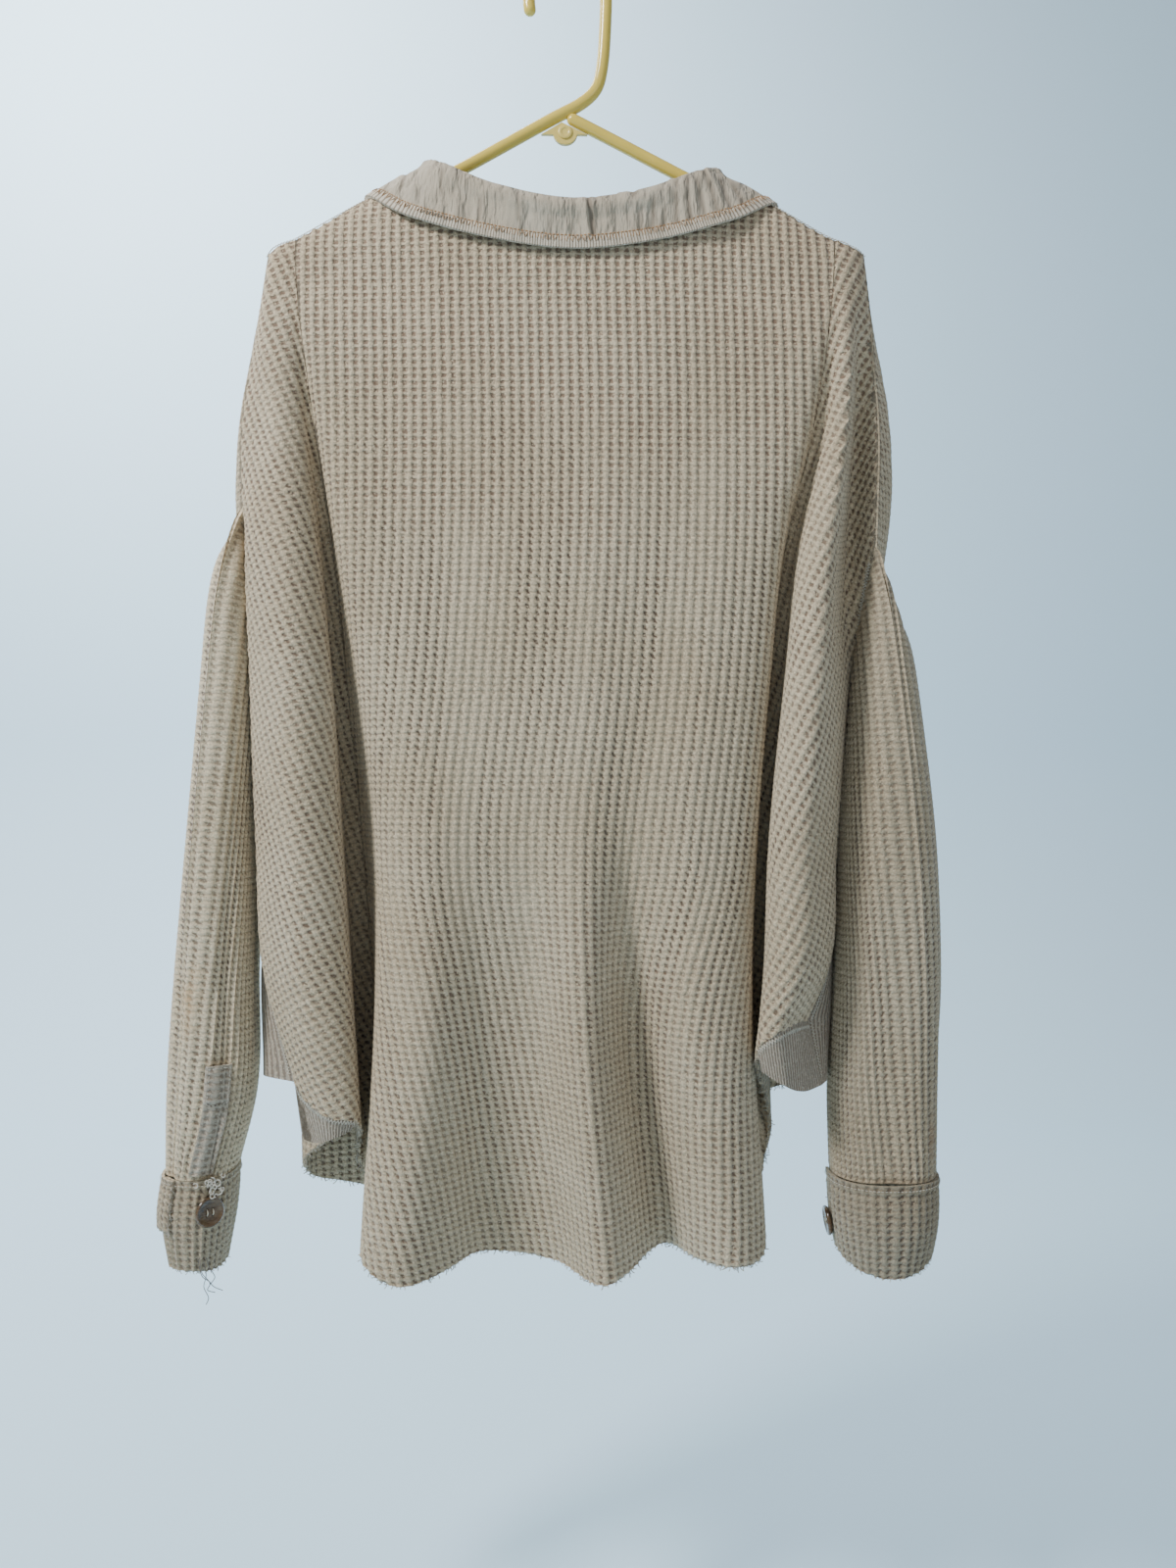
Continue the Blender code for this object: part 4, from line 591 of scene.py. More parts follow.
def knit_material(name, ridge, pocket, bar_share=0.85, stains_and_shade=(), opens=(-0.46, -0.28, -0.60, -0.74, 0.5)):
    """Cotton knit with a woolly yarn surface, uneven dye, soft stains and painted shade.

    Its pockets gape as brown squares of painted shade high up, low down and in the side folds, and elsewhere
    close to narrow dark slits of painted shade between the ribs. opens says where they gape: the two heights,
    in metres, between which they open upwards, the two between which they half open downwards, and how far
    they open in the side folds. The marks it is given are real stains and painted shadows."""
    shader = Shader(name)
    cell = shader.coordinates("UV")
    place = shader.coordinates("Object")
    wander = shader.noise(place, 260, 2.0)
    across_cell, down_cell, _ = shader.split(cell)
    aside, _, height = shader.split(place)
    wobble = shader.times(shader.minus(wander, 0.5), 0.14)
    ridge_wave = shader.wave(shader.plus(across_cell, wobble))
    bar_wave = shader.wave(shader.plus(down_cell, wobble))

    # Where the pockets gape, with ragged limits
    uneven = shader.plus(height, shader.times(shader.noise(place, 14, 3.0), 0.10))
    high_up = shader.between(uneven, opens[0] + 0.05, opens[1] + 0.05)
    low_down = shader.times(shader.between(uneven, opens[2] + 0.05, opens[3] + 0.05), 0.5)
    in_fold = shader.times(shader.between(shader.math("ABSOLUTE", aside), 0.12, 0.16), opens[4])
    gaping = shader.most(high_up, shader.most(low_down, in_fold))

    # Open squares, closed slanted slits, and the knobs between them: where painted shade darkens the knit's
    # hollows
    bars = shader.times(shader.between(bar_wave, -0.1, 0.7), bar_share)
    squares = shader.minus(1.0, shader.most(shader.between(ridge_wave, -0.55, 0.35), bars))
    slant = shader.times(shader.minus(shader.math("FRACT", down_cell), 0.5), SLIT_SLANT)
    slit_wave = shader.wave(shader.plus(shader.plus(across_cell, wobble), slant))
    slits = shader.minus(1.0, shader.most(shader.between(slit_wave, -0.96, -0.2), shader.times(bars, 0.75)))
    gathered = shader.noise(shader.coordinates("UV", (0.2, 0.012, 1.0)), 1.0, 2.0, low=0.3, high=0.7)
    slits = shader.times(slits, shader.plus(shader.times(gathered, 0.75), 0.4))      # fainter in some columns
    sunk = shader.plus(shader.times(squares, gaping), shader.times(slits, shader.minus(1.0, gaping)))
    knobs = shader.minus(1.0, shader.between(bar_wave, -0.97, -0.4))
    sunk = shader.most(sunk, shader.times(knobs, 0.4 * bar_share))

    # The dye, the painted shade in the pockets and slits, the flecks of the yarn, and the stains and painted
    # shadows
    tone = shader.noise(place, 9, 3.0)
    dark_fleck = shader.noise(place, 900, 2.0, low=0.45, high=0.7)
    pale_fleck = shader.noise(place, 620, 3.0, low=0.52, high=0.72)
    ridge_tone = shader.mix(tone, ridge, toned(ridge, (0.90, 0.87, 0.83)))
    # Painted shade in the pockets, darkest where they gape
    pocket_shade_tone = shader.mix(gaping, toned(pocket, 0.45), shader.mix(tone, pocket, toned(pocket, 0.84)))
    colour = shader.mix(sunk, ridge_tone, pocket_shade_tone)
    colour = shader.mix(shader.times(dark_fleck, 0.45), colour, toned(ridge, 0.5))
    colour = shader.mix(shader.times(pale_fleck, 0.5), colour, toned(ridge, 1.5))
    # Real stains, and painted shadows and shade where they are given
    for centre, size, tint, share, *turn in stains_and_shade:
        area = shader.spot(place, centre, size, 0.9, *turn)
        if min(size) > 5:                # a broad stain has a ragged edge
            area = shader.times(area, shader.noise(place, 70, 4.0, low=0.3, high=0.7))
        colour = shader.mix(shader.times(area, share), colour, tint)

    raised = shader.minus(1.0, sunk)
    rounded_rib = shader.plus(shader.times(ridge_wave, 0.3), shader.times(bar_wave, 0.12))
    yarn = shader.plus(shader.times(raised, 0.6), shader.times(dark_fleck, -0.25))
    return shader.finish(colour, 0.93, shader.bump(shader.plus(yarn, rounded_rib), 0.0014, 0.8), sheen=0.15)


# The ridges' own colour, and the painted shade of the pockets between them
RIDGE_COLOUR, POCKET_SHADE_COLOUR = (0.66, 0.55, 0.38), (0.262, 0.175, 0.115)
waffle = knit_material("waffle knit", RIDGE_COLOUR, POCKET_SHADE_COLOUR)

back_grid, back_lines = panel(BACK_FOLDS)
LEFT_LOBE_END, RIGHT_LOBE_START = 5, 16  # the fold lines at the bottom of the valleys
left_lobe = back_grid[:, :back_lines[LEFT_LOBE_END] + 1]
middle = back_grid[:, back_lines[LEFT_LOBE_END]:back_lines[RIGHT_LOBE_START] + 1]
right_lobe = back_grid[:, back_lines[RIGHT_LOBE_START]:]
back = mesh_piece("back_cloth", [
    knit(lay_flat(left_lobe, back_lines[2]), -1, tilt=LOBE_TILT, pattern=SOFT_WAFFLE),
    knit(lay_flat(middle, back_lines[11] - back_lines[LEFT_LOBE_END]), -1),
    knit(lay_flat(right_lobe, back_lines[19] - back_lines[RIGHT_LOBE_START]), -1, tilt=-LOBE_TILT,
         pattern=SOFT_WAFFLE),
], waffle)

# ---- The fronts ----------------------------------------------------------------------------------
# Two panels of the same knit, sewn to the back along the shoulders and open down the middle. The photograph
# shows them only over the shoulders and under the side folds, where the browner inside and a raw hem hang
# lower.
front_left_grid, front_left_lines = panel(FRONT_LEFT_FOLDS)
front_right_grid, front_right_lines = panel(FRONT_RIGHT_FOLDS)
front_left = mesh_piece("front_left_cloth", [
    knit(lay_flat(front_left_grid, front_left_lines[6]), 1, pattern=SOFT_WAFFLE)], waffle)
front_right = mesh_piece("front_right_cloth", [
    knit(lay_flat(front_right_grid, front_right_lines[6]), -1, pattern=SOFT_WAFFLE)], waffle)

# ---- The side gussets and hem godets -------------------------------------------------------------
# Narrow strips of fine cream rib let into the side seams below the armholes, and two small pieces of the same
# rib under the back's raised corners. Their ribs run down the strip.
RIB = 1.6                                # wall thickness of the rib
RIB_PITCH, RIB_ROW, RIB_RELIEF = 2.1, 8.0, 0.55
RIBS = {"columns": (0.0, 0.5), "rows": (0.0,), "heights": ((1.0, 0.0),)}
# The gussets' middle line, and the godets' hem points under the lobe's lines: x, y, z
GUSSET_MIDDLE_LEFT = ((-216, 32, -620), (-219, 30, -665), (-221, 26, -710), (-217, 16, -783))
GUSSET_MIDDLE_RIGHT = ((190, 30, -620), (190, 28, -665), (190, 24, -710), (184, 12, -778))
GODET_HEM_LEFT = ((-184, -9, -822), (-175, -15, -823), (-160, -29, -817), (-147, -26, -811))
GODET_HEM_RIGHT = ((133, -28, -771), (148, -31, -780), (163, -18, -787), (177, -8, -785))
GUSSET_ENDS = (-783.0, -785.0)

# A dark brown spot on the right strip, just under the back's raised corner
RIB_DARK_SPOT = ((188, -2, -752), (9, 30, 12), (0.22, 0.11, 0.05), 0.8)      # place, size, colour, share
rib_cloth = knit_material("fine rib", (0.52, 0.45, 0.355), (0.29, 0.23, 0.17), bar_share=0.0,
                          opens=(-3.0, -2.0, 0.0, -1.0, 0.0), stains_and_shade=(RIB_DARK_SPOT,))


def rib_piece(name, flat, outward, pitch):
    """A strip of rib on a laid-out surface."""
    strip = knit(flat, outward, cell=(pitch, RIB_ROW), pattern=RIBS, relief=RIB_RELIEF, thickness=RIB,
                 coarse=4)
    return mesh_piece(name, [strip], rib_cloth)


def gusset(name, back_edge, front_edge, corner, table, end, outward):
    """The strip between the back's side edge, carried on by the godet's corner, and the front's."""
    heights = np.linspace(UNDERARM, end, 60)
    back_side = at_heights(np.vstack([back_edge, corner]), heights)
    front_side = at_heights(front_edge, heights)
    line = np.array(table, float)
    drop = np.clip(-heights, -line[0, 2], -line[-1, 2])
    bulge = np.column_stack([hermite(-line[:, 2], line[:, :2], drop), heights])
    grid = np.array([across(np.array(row), [16, 16]) for row in zip(back_side, bulge, front_side)])
    width = run_along(grid[10])[-1]
    pitch = width / round(width / RIB_PITCH)
    flat = lay_flat(grid, width=width)
    return rib_piece(name, flat, outward, pitch), grid


def godet(name, top, hem, outward):
    """The insert from a stretch of the back's hem to its own lower hem."""
    low = across(np.array(hem, float), [(len(top) - 1) // (len(hem) - 1)] * (len(hem) - 1))
    low = at_places(np.linspace(0, 1, len(top)), np.linspace(0, 1, len(low)), low)
    grid = np.array([top + (low - top) * s for s in np.linspace(0, 1, 12)])
    flat = lay_flat(grid, width=run_along(grid[6])[-1])
    return rib_piece(name, flat, outward, RIB_PITCH), grid


godet_left, godet_left_grid = godet(
    "godet_left_cloth", back_grid[-1, :back_lines[3] + 1], GODET_HEM_LEFT, -1)
godet_right, godet_right_grid = godet(
    "godet_right_cloth", back_grid[-1, back_lines[18]:], GODET_HEM_RIGHT, -1)
gusset_left, gusset_left_grid = gusset(
    "gusset_left_cloth", back_grid[:, 0], front_left_grid[:, 0], np.array(GODET_HEM_LEFT[:1], float),
    GUSSET_MIDDLE_LEFT, GUSSET_ENDS[0], 1)
gusset_right, gusset_right_grid = gusset(
    "gusset_right_cloth", back_grid[:, -1], front_right_grid[:, 0], np.array(GODET_HEM_RIGHT[-1:], float),
    GUSSET_MIDDLE_RIGHT, GUSSET_ENDS[1], -1)

# ---- The sleeves ---------------------------------------------------------------------------------
# Straight drop-shoulder sleeves in the same knit, sewn to the body far below the shoulder. They hang flat
# behind the side folds, with a few long soft folds.

# The sleeves' sections: height, outer x, inner x, near y, far y
SLEEVE_LEFT = ((-380, -250, -208, -4, 54), (-440, -256, -221, -10, 60), (-500, -261, -224, -12, 62),
               (-620, -272, -226, -13, 62), (-710, -280, -227, -14, 62), (-800, -285, -228, -14, 58),
               (-850, -285, -240, -13, 54))
SLEEVE_RIGHT = ((-410, 238, 200, -14, 54), (-440, 241, 203, -15, 58), (-500, 248, 203, -17, 60),
                (-620, 262, 196, -18, 62), (-710, 265, 193, -18, 62), (-800, 263, 189, -17, 58),
                (-852, 262, 190, -16, 54))
SQUARENESS = 0.85                        # 1 is an ellipse, less is squarer
SLEEVE_END_LEFT, SLEEVE_END_RIGHT = -850.0, -852.0
SEAM_EASE = 14.0                         # height over which a sleeve leaves the armhole's line
SLEEVE_OPENS = (-0.42, -0.22, -3.0, -4.0)        # a sleeve's pockets gape high up, and never low down


def section_at(table, heights):
    """The middle and half width of a sleeve or cuff at heights: first from side to side, then in depth."""
    rows = np.array(table, float)
    outer, inner, near, far = hermite(-rows[:, 0], rows[:, 1:], -np.asarray(heights)).T
    return (outer + inner) / 2, (outer - inner) / 2, (near + far) / 2, (near - far) / 2


def section(table, heights, angles, folds):
    """Points of a sleeve or cuff at heights and angles round it: 0 is its outer side, pi / 2 the near one."""
    mid_x, half_x, mid_y, half_y = section_at(table, heights)
    c, s = np.cos(angles), np.sin(angles)
    x = mid_x + half_x * np.sign(c) * np.abs(c) ** SQUARENESS
    y = mid_y + half_y * np.sign(s) * np.abs(s) ** SQUARENESS
    for angle, width, depth, start, full in folds:
        turn = (angles - angle + pi) % (2 * pi) - pi
        grown = np.clip((start - heights) / (start - full), 0, 1)
        pull = depth * grown * grown * (3 - 2 * grown) * np.exp(-(turn / width) ** 2)
        x = x + pull * (mid_x - x) / np.hypot(x - mid_x, y - mid_y)
        y = y + pull * (mid_y - y) / np.hypot(x - mid_x, y - mid_y)
    return np.stack([x, y, np.asarray(heights) + 0 * x], axis=-1)


# Folds along the sleeves: angle round it, width in radians, depth, heights where the fold starts and is full
SLEEVE_FOLDS_LEFT = ((0.30 * pi, 0.25, 4, -640, -740), (0.66 * pi, 0.22, 3.5, -560, -700),
                     (1.45 * pi, 0.35, 6, -520, -680))
SLEEVE_FOLDS_RIGHT = ((0.02 * pi, 0.22, 7, -700, -800), (0.52 * pi, 0.28, 3, -560, -700),
                      (1.50 * pi, 0.35, 6, -520, -680))


def loop_angles(loop, table):
    """Where each point of the armhole lies round the sleeve's section at its own height."""
    mid_x, half_x, mid_y, half_y = section_at(table, loop[:, 2])
    shares = (loop[:, 1] - mid_y) / half_y, (loop[:, 0] - mid_x) / half_x
    sine, cosine = (np.sign(v) * np.abs(v) ** (1 / SQUARENESS) for v in shares)
    return np.unwrap(np.arctan2(sine, cosine))


def sleeve(name, back_edge, front_edge, strip_top, on_left, table, top, end, folds, stains_and_shade):
    """A tube from the slanted armhole down to the level cuff seam."""
    steps = np.arange(top, UNDERARM - 1, -5.0)
    behind, before = at_heights(back_edge, steps), at_heights(front_edge, steps)
    between = strip_top[4:-4:4]
    loop = np.vstack([behind, between, before[:0:-1]])
    start = loop_angles(loop, table)
    under = len(behind) + len(between) // 2
    turn = np.sign(start[under] - start[0])
    even = np.concatenate([np.linspace(0.25, 1.0, under, endpoint=False),
                           np.linspace(1.0, 2.25, len(loop) - under, endpoint=False)]) * pi
    even = start[under] + turn * (even - pi)
    offset = loop - section(table, loop[:, 2], start, folds)
    grid = []
    for share in np.linspace(0, 1, 60):
        heights = loop[:, 2] + (end - loop[:, 2]) * share
        fade = np.exp(-(loop[:, 2] - heights) / SEAM_EASE)[:, None]
        ring = section(table, heights, start + (even - start) * share ** 0.6, folds) + offset * fade
        grid.append(np.vstack([ring, ring[:1]]))
    grid = np.array(grid)
    cells = round(run_along(grid[-1])[-1] / CELL_WIDTH)
    flat = lay_flat(grid, width=cells * CELL_WIDTH)
    ridge = toned(RIDGE_COLOUR, 1.12 if on_left else 0.84)       # painted light: paler on the left sleeve, which faces the light, darker on the right one
    cloth = knit_material(name + " knit", ridge, POCKET_SHADE_COLOUR, stains_and_shade=stains_and_shade, opens=(*SLEEVE_OPENS, 0.2))
    return mesh_piece(name, [knit(flat, -1 if on_left else 1, raw_hem=False, tube=True)], cloth)


# Marks on the sleeves: place, size, colour, share and, for the painted shadow in the left sleeve's slit, its
# lean.
# The left sleeve's broad orange mark is a stain; the right sleeve's thin brown strip is painted shade.
SLIT_LEAN, SLIT_COLOUR = 0.335, (0.02, 0.016, 0.012)
STAIN_AND_SLIT_SHADOW_LEFT = (((-264, -14, -722), (20, 20, 44), (0.56, 0.36, 0.18), 0.6),
               ((-238.5, -13, -825), (1.5, 14, 25), SLIT_COLOUR, 1.0, SLIT_LEAN))
PAINTED_SHADE_RIGHT = (((255, 0, -823), (5.5, 30, 26), (0.30, 0.15, 0.07), 0.6),)
sleeve_left = sleeve(
    "sleeve_left_cloth", back_grid[:, 0], front_left_grid[:, 0], gusset_left_grid[0], True,
    SLEEVE_LEFT, LEFT_TOP, SLEEVE_END_LEFT, SLEEVE_FOLDS_LEFT, STAIN_AND_SLIT_SHADOW_LEFT)
sleeve_right = sleeve(
    "sleeve_right_cloth", back_grid[:, -1], front_right_grid[:, 0], gusset_right_grid[0], False,
    SLEEVE_RIGHT, RIGHT_TOP, SLEEVE_END_RIGHT, SLEEVE_FOLDS_RIGHT, PAINTED_SHADE_RIGHT)

# ---- The sleeve plackets -------------------------------------------------------------------------
# A folded strip of the knit beside the slit of each sleeve, with a stitched box at its top and a corded edge
# along the slit. The left one shows; the right one lies on the sleeve's far side.

# The strips: height, left x, right x
PLACKET_LEFT = ((-770, -250, -234), (-797, -252, -236), (-846, -262, -247))
PLACKET_RIGHT = ((-770, 233, 249), (-797, 234, 250), (-848, 235, 251))
PLACKET_GAP = 0.9                        # between the sleeve and the strip
BOX_FOOT = -797.0                        # the stitched box stands above this height
BOX_PROUD, CORD_PROUD = 1.8, 2.4         # how far the box and the corded edge stand out


def placket(name, table, sleeve_table, folds, side):
    """The strip on the sleeve's near side (1) or far side (-1), with its box and its corded edge raised."""
    rows = np.array(table, float)
    heights = np.linspace(rows[0, 0], rows[-1, 0], 50)
    edges = hermite(-rows[:, 0], rows[:, 1:], -heights)
    grid = []
    for height, (left, right), mid, half in zip(heights, edges, *section_at(sleeve_table, heights)[:2]):
        share = np.clip((np.linspace(left, right, 24) - mid) / half, -1, 1)
        angles = side * np.arccos(np.sign(share) * np.abs(share) ** (1 / SQUARENESS))
        grid.append(section(sleeve_table, np.full(24, height), angles, folds))
    grid = np.array(grid)
    normals = normals_of(grid) * -side
    across_it = np.linspace(0, 1, 24)[None, :]
    box = np.clip((heights - BOX_FOOT) / 1.5, 0, 1)[:, None] * (np.abs(across_it - 0.5) < 0.42)
    cord = np.exp(-((across_it - 0.9) / 0.09) ** 2) * np.clip((BOX_FOOT - 4 - heights) / 6, 0, 1)[:, None]
    lumps = 0.5 * np.sin(across_it * 17 + heights[:, None]) * np.sin(heights[:, None] * 0.9)
    lift = CLOTH / 2 + PLACKET_GAP + RIB / 2 + (BOX_PROUD + lumps) * box + CORD_PROUD * cord
    grid += normals * lift[..., None]
    width = run_along(grid[25])[-1]
    flat = lay_flat(grid, width=width)
    strip = knit(flat, -side, cell=(width / 3, CELL_HEIGHT), pattern=PLACKET_WAFFLE, relief=0.8,
                 thickness=RIB)
    return mesh_piece(name, [strip], placket_knit), grid


PLACKET_WAFFLE = {"columns": (0.0, 0.16, 0.34, 0.66, 0.84), "rows": (0.0, 0.25, 0.5, 0.75),
                  "heights": ((1, 0.9, 0.5, 0.5, 0.9), (0.95, 0.8, 0.2, 0.2, 0.8),
                              (0.9, 0.75, 0, 0, 0.75), (0.95, 0.8, 0.2, 0.2, 0.8))}
# Both marks on the placket are painted: shade along the foot of the stitched box, and the shadow in the
# sleeve's slit
placket_knit = knit_material("placket knit", (0.52, 0.45, 0.35), (0.24, 0.18, 0.13), stains_and_shade=(
    ((-242.5, -14, -797.5), (8, 14, 1.2), (0.10, 0.05, 0.025), 0.9),
    ((-239, -14, -823), (1.4, 14, 25), SLIT_COLOUR, 1.0, SLIT_LEAN)))
placket_left, placket_left_grid = placket(
    "sleeve_placket_left_cloth", PLACKET_LEFT, SLEEVE_LEFT, SLEEVE_FOLDS_LEFT, 1)
placket_right, _ = placket(
    "sleeve_placket_right_cloth", PLACKET_RIGHT, SLEEVE_RIGHT, SLEEVE_FOLDS_RIGHT, -1)

# ---- The cuffs -----------------------------------------------------------------------------------
# Band cuffs of the same knit, each wound once round the wrist with its outer end lapped over the inner one.
# The top edge is folded and stitched, and the hem is cut raw and uneven.

# The cuffs: height, outer x, inner x, near y, far y
CUFF_LEFT = ((-850.4, -286, -239, -14, 55), (-880, -289, -241, -16, 54), (-912, -284, -246, -12, 46))
CUFF_RIGHT = ((-852.4, 263, 189, -17, 55), (-885, 262, 191, -18, 54), (-918, 256, 197, -12, 46))
CUFF_START_LEFT, CUFF_START_RIGHT = 0.22 * pi, 0.90 * pi     # where the inner end lies round the wrist
CUFF_LAP, CUFF_LAP_GAP = 0.16 * pi, 0.7  # turn of the lap, and the gap between its layers
# The cuffs' raw hems: turn from the inner end in half turns, height
CUFF_HEM_LEFT = ((0.0, -912), (1.15, -912), (1.5, -900), (1.9, -887), (2.16, -886))
CUFF_HEM_RIGHT = ((0.0, -905), (0.5, -900), (1.1, -903), (1.6, -918), (2.0, -908), (2.16, -903))
CUFF_TOP_FOLD = 5.0                      # depth of the folded top edge


def cuff(name, table, start, hem, cloth):
    """The band, with its folded top edge and its raw hem."""
    turned = np.linspace(0, 2 * pi + CUFF_LAP, 200)
    step = (CLOTH + CUFF_LAP_GAP) / 2
    lift = step * (np.clip((turned - pi) / (0.8 * pi), 0, 1) - np.clip((pi - turned) / (0.8 * pi), 0, 1))
    low = hermite(np.array(hem)[:, 0] * pi, np.array(hem)[:, 1:], turned)[:, 0]
    grid = []
    for share in np.linspace(0, 1, 40):
        heights = table[0][0] + (low - table[0][0]) * share
        ring = section(table, heights, start + turned, ())
        out = unit((ring - ring[:-15].mean(axis=0)) * (1, 1, 0))
        depth = (table[0][0] - heights[0]) / CUFF_TOP_FOLD
        if depth < 0.8:                  # the folded edge stands proud, dips at its stitches and levels out
            proud = 0.5
        elif depth < 1.0:
            proud = 0.5 - 1.0 * (depth - 0.8) / 0.2
        else:
            proud = -0.5 + 0.5 * min(1.0, depth - 1.0)
        grid.append(ring + out * (lift + proud)[:, None])
    grid = np.array(grid)
    flat = lay_flat(grid, width=run_along(grid[0])[-1])
    facing_out = np.sum(flat["normals"][5] * (flat["points"][5] - flat["points"][5].mean(axis=0)))
    return mesh_piece(name, [knit(flat, 1 if facing_out > 0 else -1)], cloth), grid


def cuff_knit_in_shade(name, share, stains_and_shade=()):
    """The cuffs' knit, darker than the rest with painted shade: the light falls off towards the bottom, and
    the right cuff lies deeper in shadow.
    """
    return knit_material(name, toned(RIDGE_COLOUR, share), toned(POCKET_SHADE_COLOUR, share), stains_and_shade=stains_and_shade,
                         opens=(*SLEEVE_OPENS, 0.4))


CUFF_SPOT = ((-247, -15, -853), (7, 12, 4.5), (0.03, 0.022, 0.015), 0.85)    # the dark worn place
# Painted shade: the left cuff's knit at 0.76 of the rest, the right one's at 0.62
cuff_left, cuff_left_grid = cuff(
    "cuff_left_cloth", CUFF_LEFT, CUFF_START_LEFT, CUFF_HEM_LEFT,
    cuff_knit_in_shade("left cuff knit", 0.76, (CUFF_SPOT,)))
cuff_right, cuff_right_grid = cuff(
    "cuff_right_cloth", CUFF_RIGHT, CUFF_START_RIGHT, CUFF_HEM_RIGHT, cuff_knit_in_shade("right cuff knit", 0.62))

# ---- The collar ----------------------------------------------------------------------------------
# Stand and fall in one folded, smooth, washed cloth that puckers along its seams, with a pleat near the
# middle that painted shade makes dark, fanned creases over the right shoulder, painted shade in the puckers
# and the band's grooves, and an edge band of cream rib sewn on with a tan topstitch.

# The collar: seam with the neck, fold and free edge of the fall, each x, y, z, and the way outward, x and y
COLLAR = (
    ("left point", (-16, 38, -250), (-15, 44, -240), (-44, 54, -322), (0.0, 1.0)),
    ("left front", (-62, 33, -222), (-60, 38, -211), (-98, 45, -268), (-0.3, 0.95)),
    ("left front shoulder", (-95.5, 10, -159), (-90, 11, -148), (-136, 22, -190), (-0.8, 0.6)),
    ("left shoulder", (-104.5, 1, -148.6), (-99, 2, -138.5), (-142, 0, -163), (-1.0, 0.0)),
    ("left back", (-96, -9.5, -157.8), (-91, -10, -142), (-112, -23, -184), (-0.55, -0.84)),
    ("left back slope", (-55, -17.5, -180), (-52, -20, -162), (-58, -29, -201), (-0.1, -1.0)),
    ("centre back", (4, -22.5, -193), (4, -25, -175), (4, -30, -210), (0.0, -1.0)),
    ("right back slope", (56, -19, -185.5), (52, -21, -167), (64, -28.5, -203), (0.1, -1.0)),
    ("right back", (102, -9.5, -164.3), (96, -10, -147.5), (116, -23, -187), (0.55, -0.84)),
    ("right shoulder", (110.5, 1, -153.6), (105, 2, -143.5), (147, 0, -169), (1.0, 0.0)),
    ("right front shoulder", (101.5, 10, -164), (97, 11, -153), (143, 22, -195), (0.8, 0.6)),
    ("right front", (70, 33, -223), (68, 38, -212), (106, 45, -269), (0.3, 0.95)),
    ("right point", (46, 38, -249.5), (45, 44, -239), (74, 54, -322), (0.0, 1.0)),
)
# The collar's rows from its fold on: share of the way to the free edge, distance outward and down
COLLAR_ROLL = ((0.0, -0.5, 2.6), (0.0, 2.2, 0.0), (0.0, 5.0, 3.2), (0.45, 2.2, 0.0), (1.0, 0.0, 0.0))
COLLAR_CLEARANCE = 3.2                   # between the fall's middle and the cloth under it
NECK_GAP, FRONT_NECK_GAP = 1.0, 1.8      # between the neckline and the collar's seam edge
COLLAR_RIBS, COLLAR_ROWS, BAND_ROWS = 300, 56, 6     # ribs along the edge band, rows above it and of its own
BAND_DEPTH, BAND_PROUD = 7.5, 0.55       # the edge band, and how far it stands proud
# Creases of the fall: x at the fold, x at the band, depth, half width, shares of the fall where they run
CREASES = (
    (14.5, 19.5, 2.4, 1.5, 0.0, 0.95), (-86.0, -87.0, 0.7, 1.2, 0.0, 0.6),
    (-110.0, -118.0, 0.8, 1.5, 0.1, 0.75), (-33.0, -32.5, 0.5, 1.3, 0.0, 0.7),
    (-58.0, -60.0, 0.5, 1.8, 0.3, 1.0), (-12.0, -12.0, 0.4, 2.0, 0.4, 1.0), (2.0, 4.0, 0.5, 1.8, 0.5, 1.0),
    (45.5, 45.0, 1.0, 2.6, -0.4, 0.25), (52.0, 50.0, 0.5, 2.0, 0.3, 1.0), (60.0, 58.0, 0.7, 2.0, 0.2, 1.0),
    (68.0, 66.5, 0.6, 1.8, 0.4, 1.0), (75.0, 75.0, 0.8, 2.0, 0.0, 1.0), (82.0, 85.0, 0.9, 2.0, 0.0, 0.9),
    (88.0, 96.0, 0.9, 2.2, 0.1, 1.0), (95.0, 106.0, 0.8, 2.2, 0.2, 1.0), (102.0, 115.0, 0.8, 2.2, 0.2, 1.0),
    (109.0, 124.0, 0.7, 2.2, 0.3, 1.0),
)


def neckline():
    """Points just above the neck's edge, from the left front's corner round the back to the right front's."""
    left_front = range(front_left_grid.shape[1] - 2 * FINE, front_left_lines[6], -1)
    right_front = range(front_right_lines[6] + 1, front_right_grid.shape[1] - FINE)
    points = []
    for grid, used, gap in ((front_left_grid, left_front, FRONT_NECK_GAP),
                            (back_grid, range(back_lines[7], back_lines[14] + 1), NECK_GAP),
                            (front_right_grid, right_front, FRONT_NECK_GAP)):
        for c in used:
            down, along = grid[3, c] - grid[0, c], unit(grid[0, c + 1] - grid[0, c - 1])
            away = unit(down - along * np.dot(down, along))
            points.append(grid[0, c] + ((0, 0, 1) - away) * gap)
    return np.array(points)


def evenly(line, count):
    """Points at even steps along a line."""
    lengths = run_along(line)
    return at_places(np.linspace(0, lengths[-1], count), lengths, line)


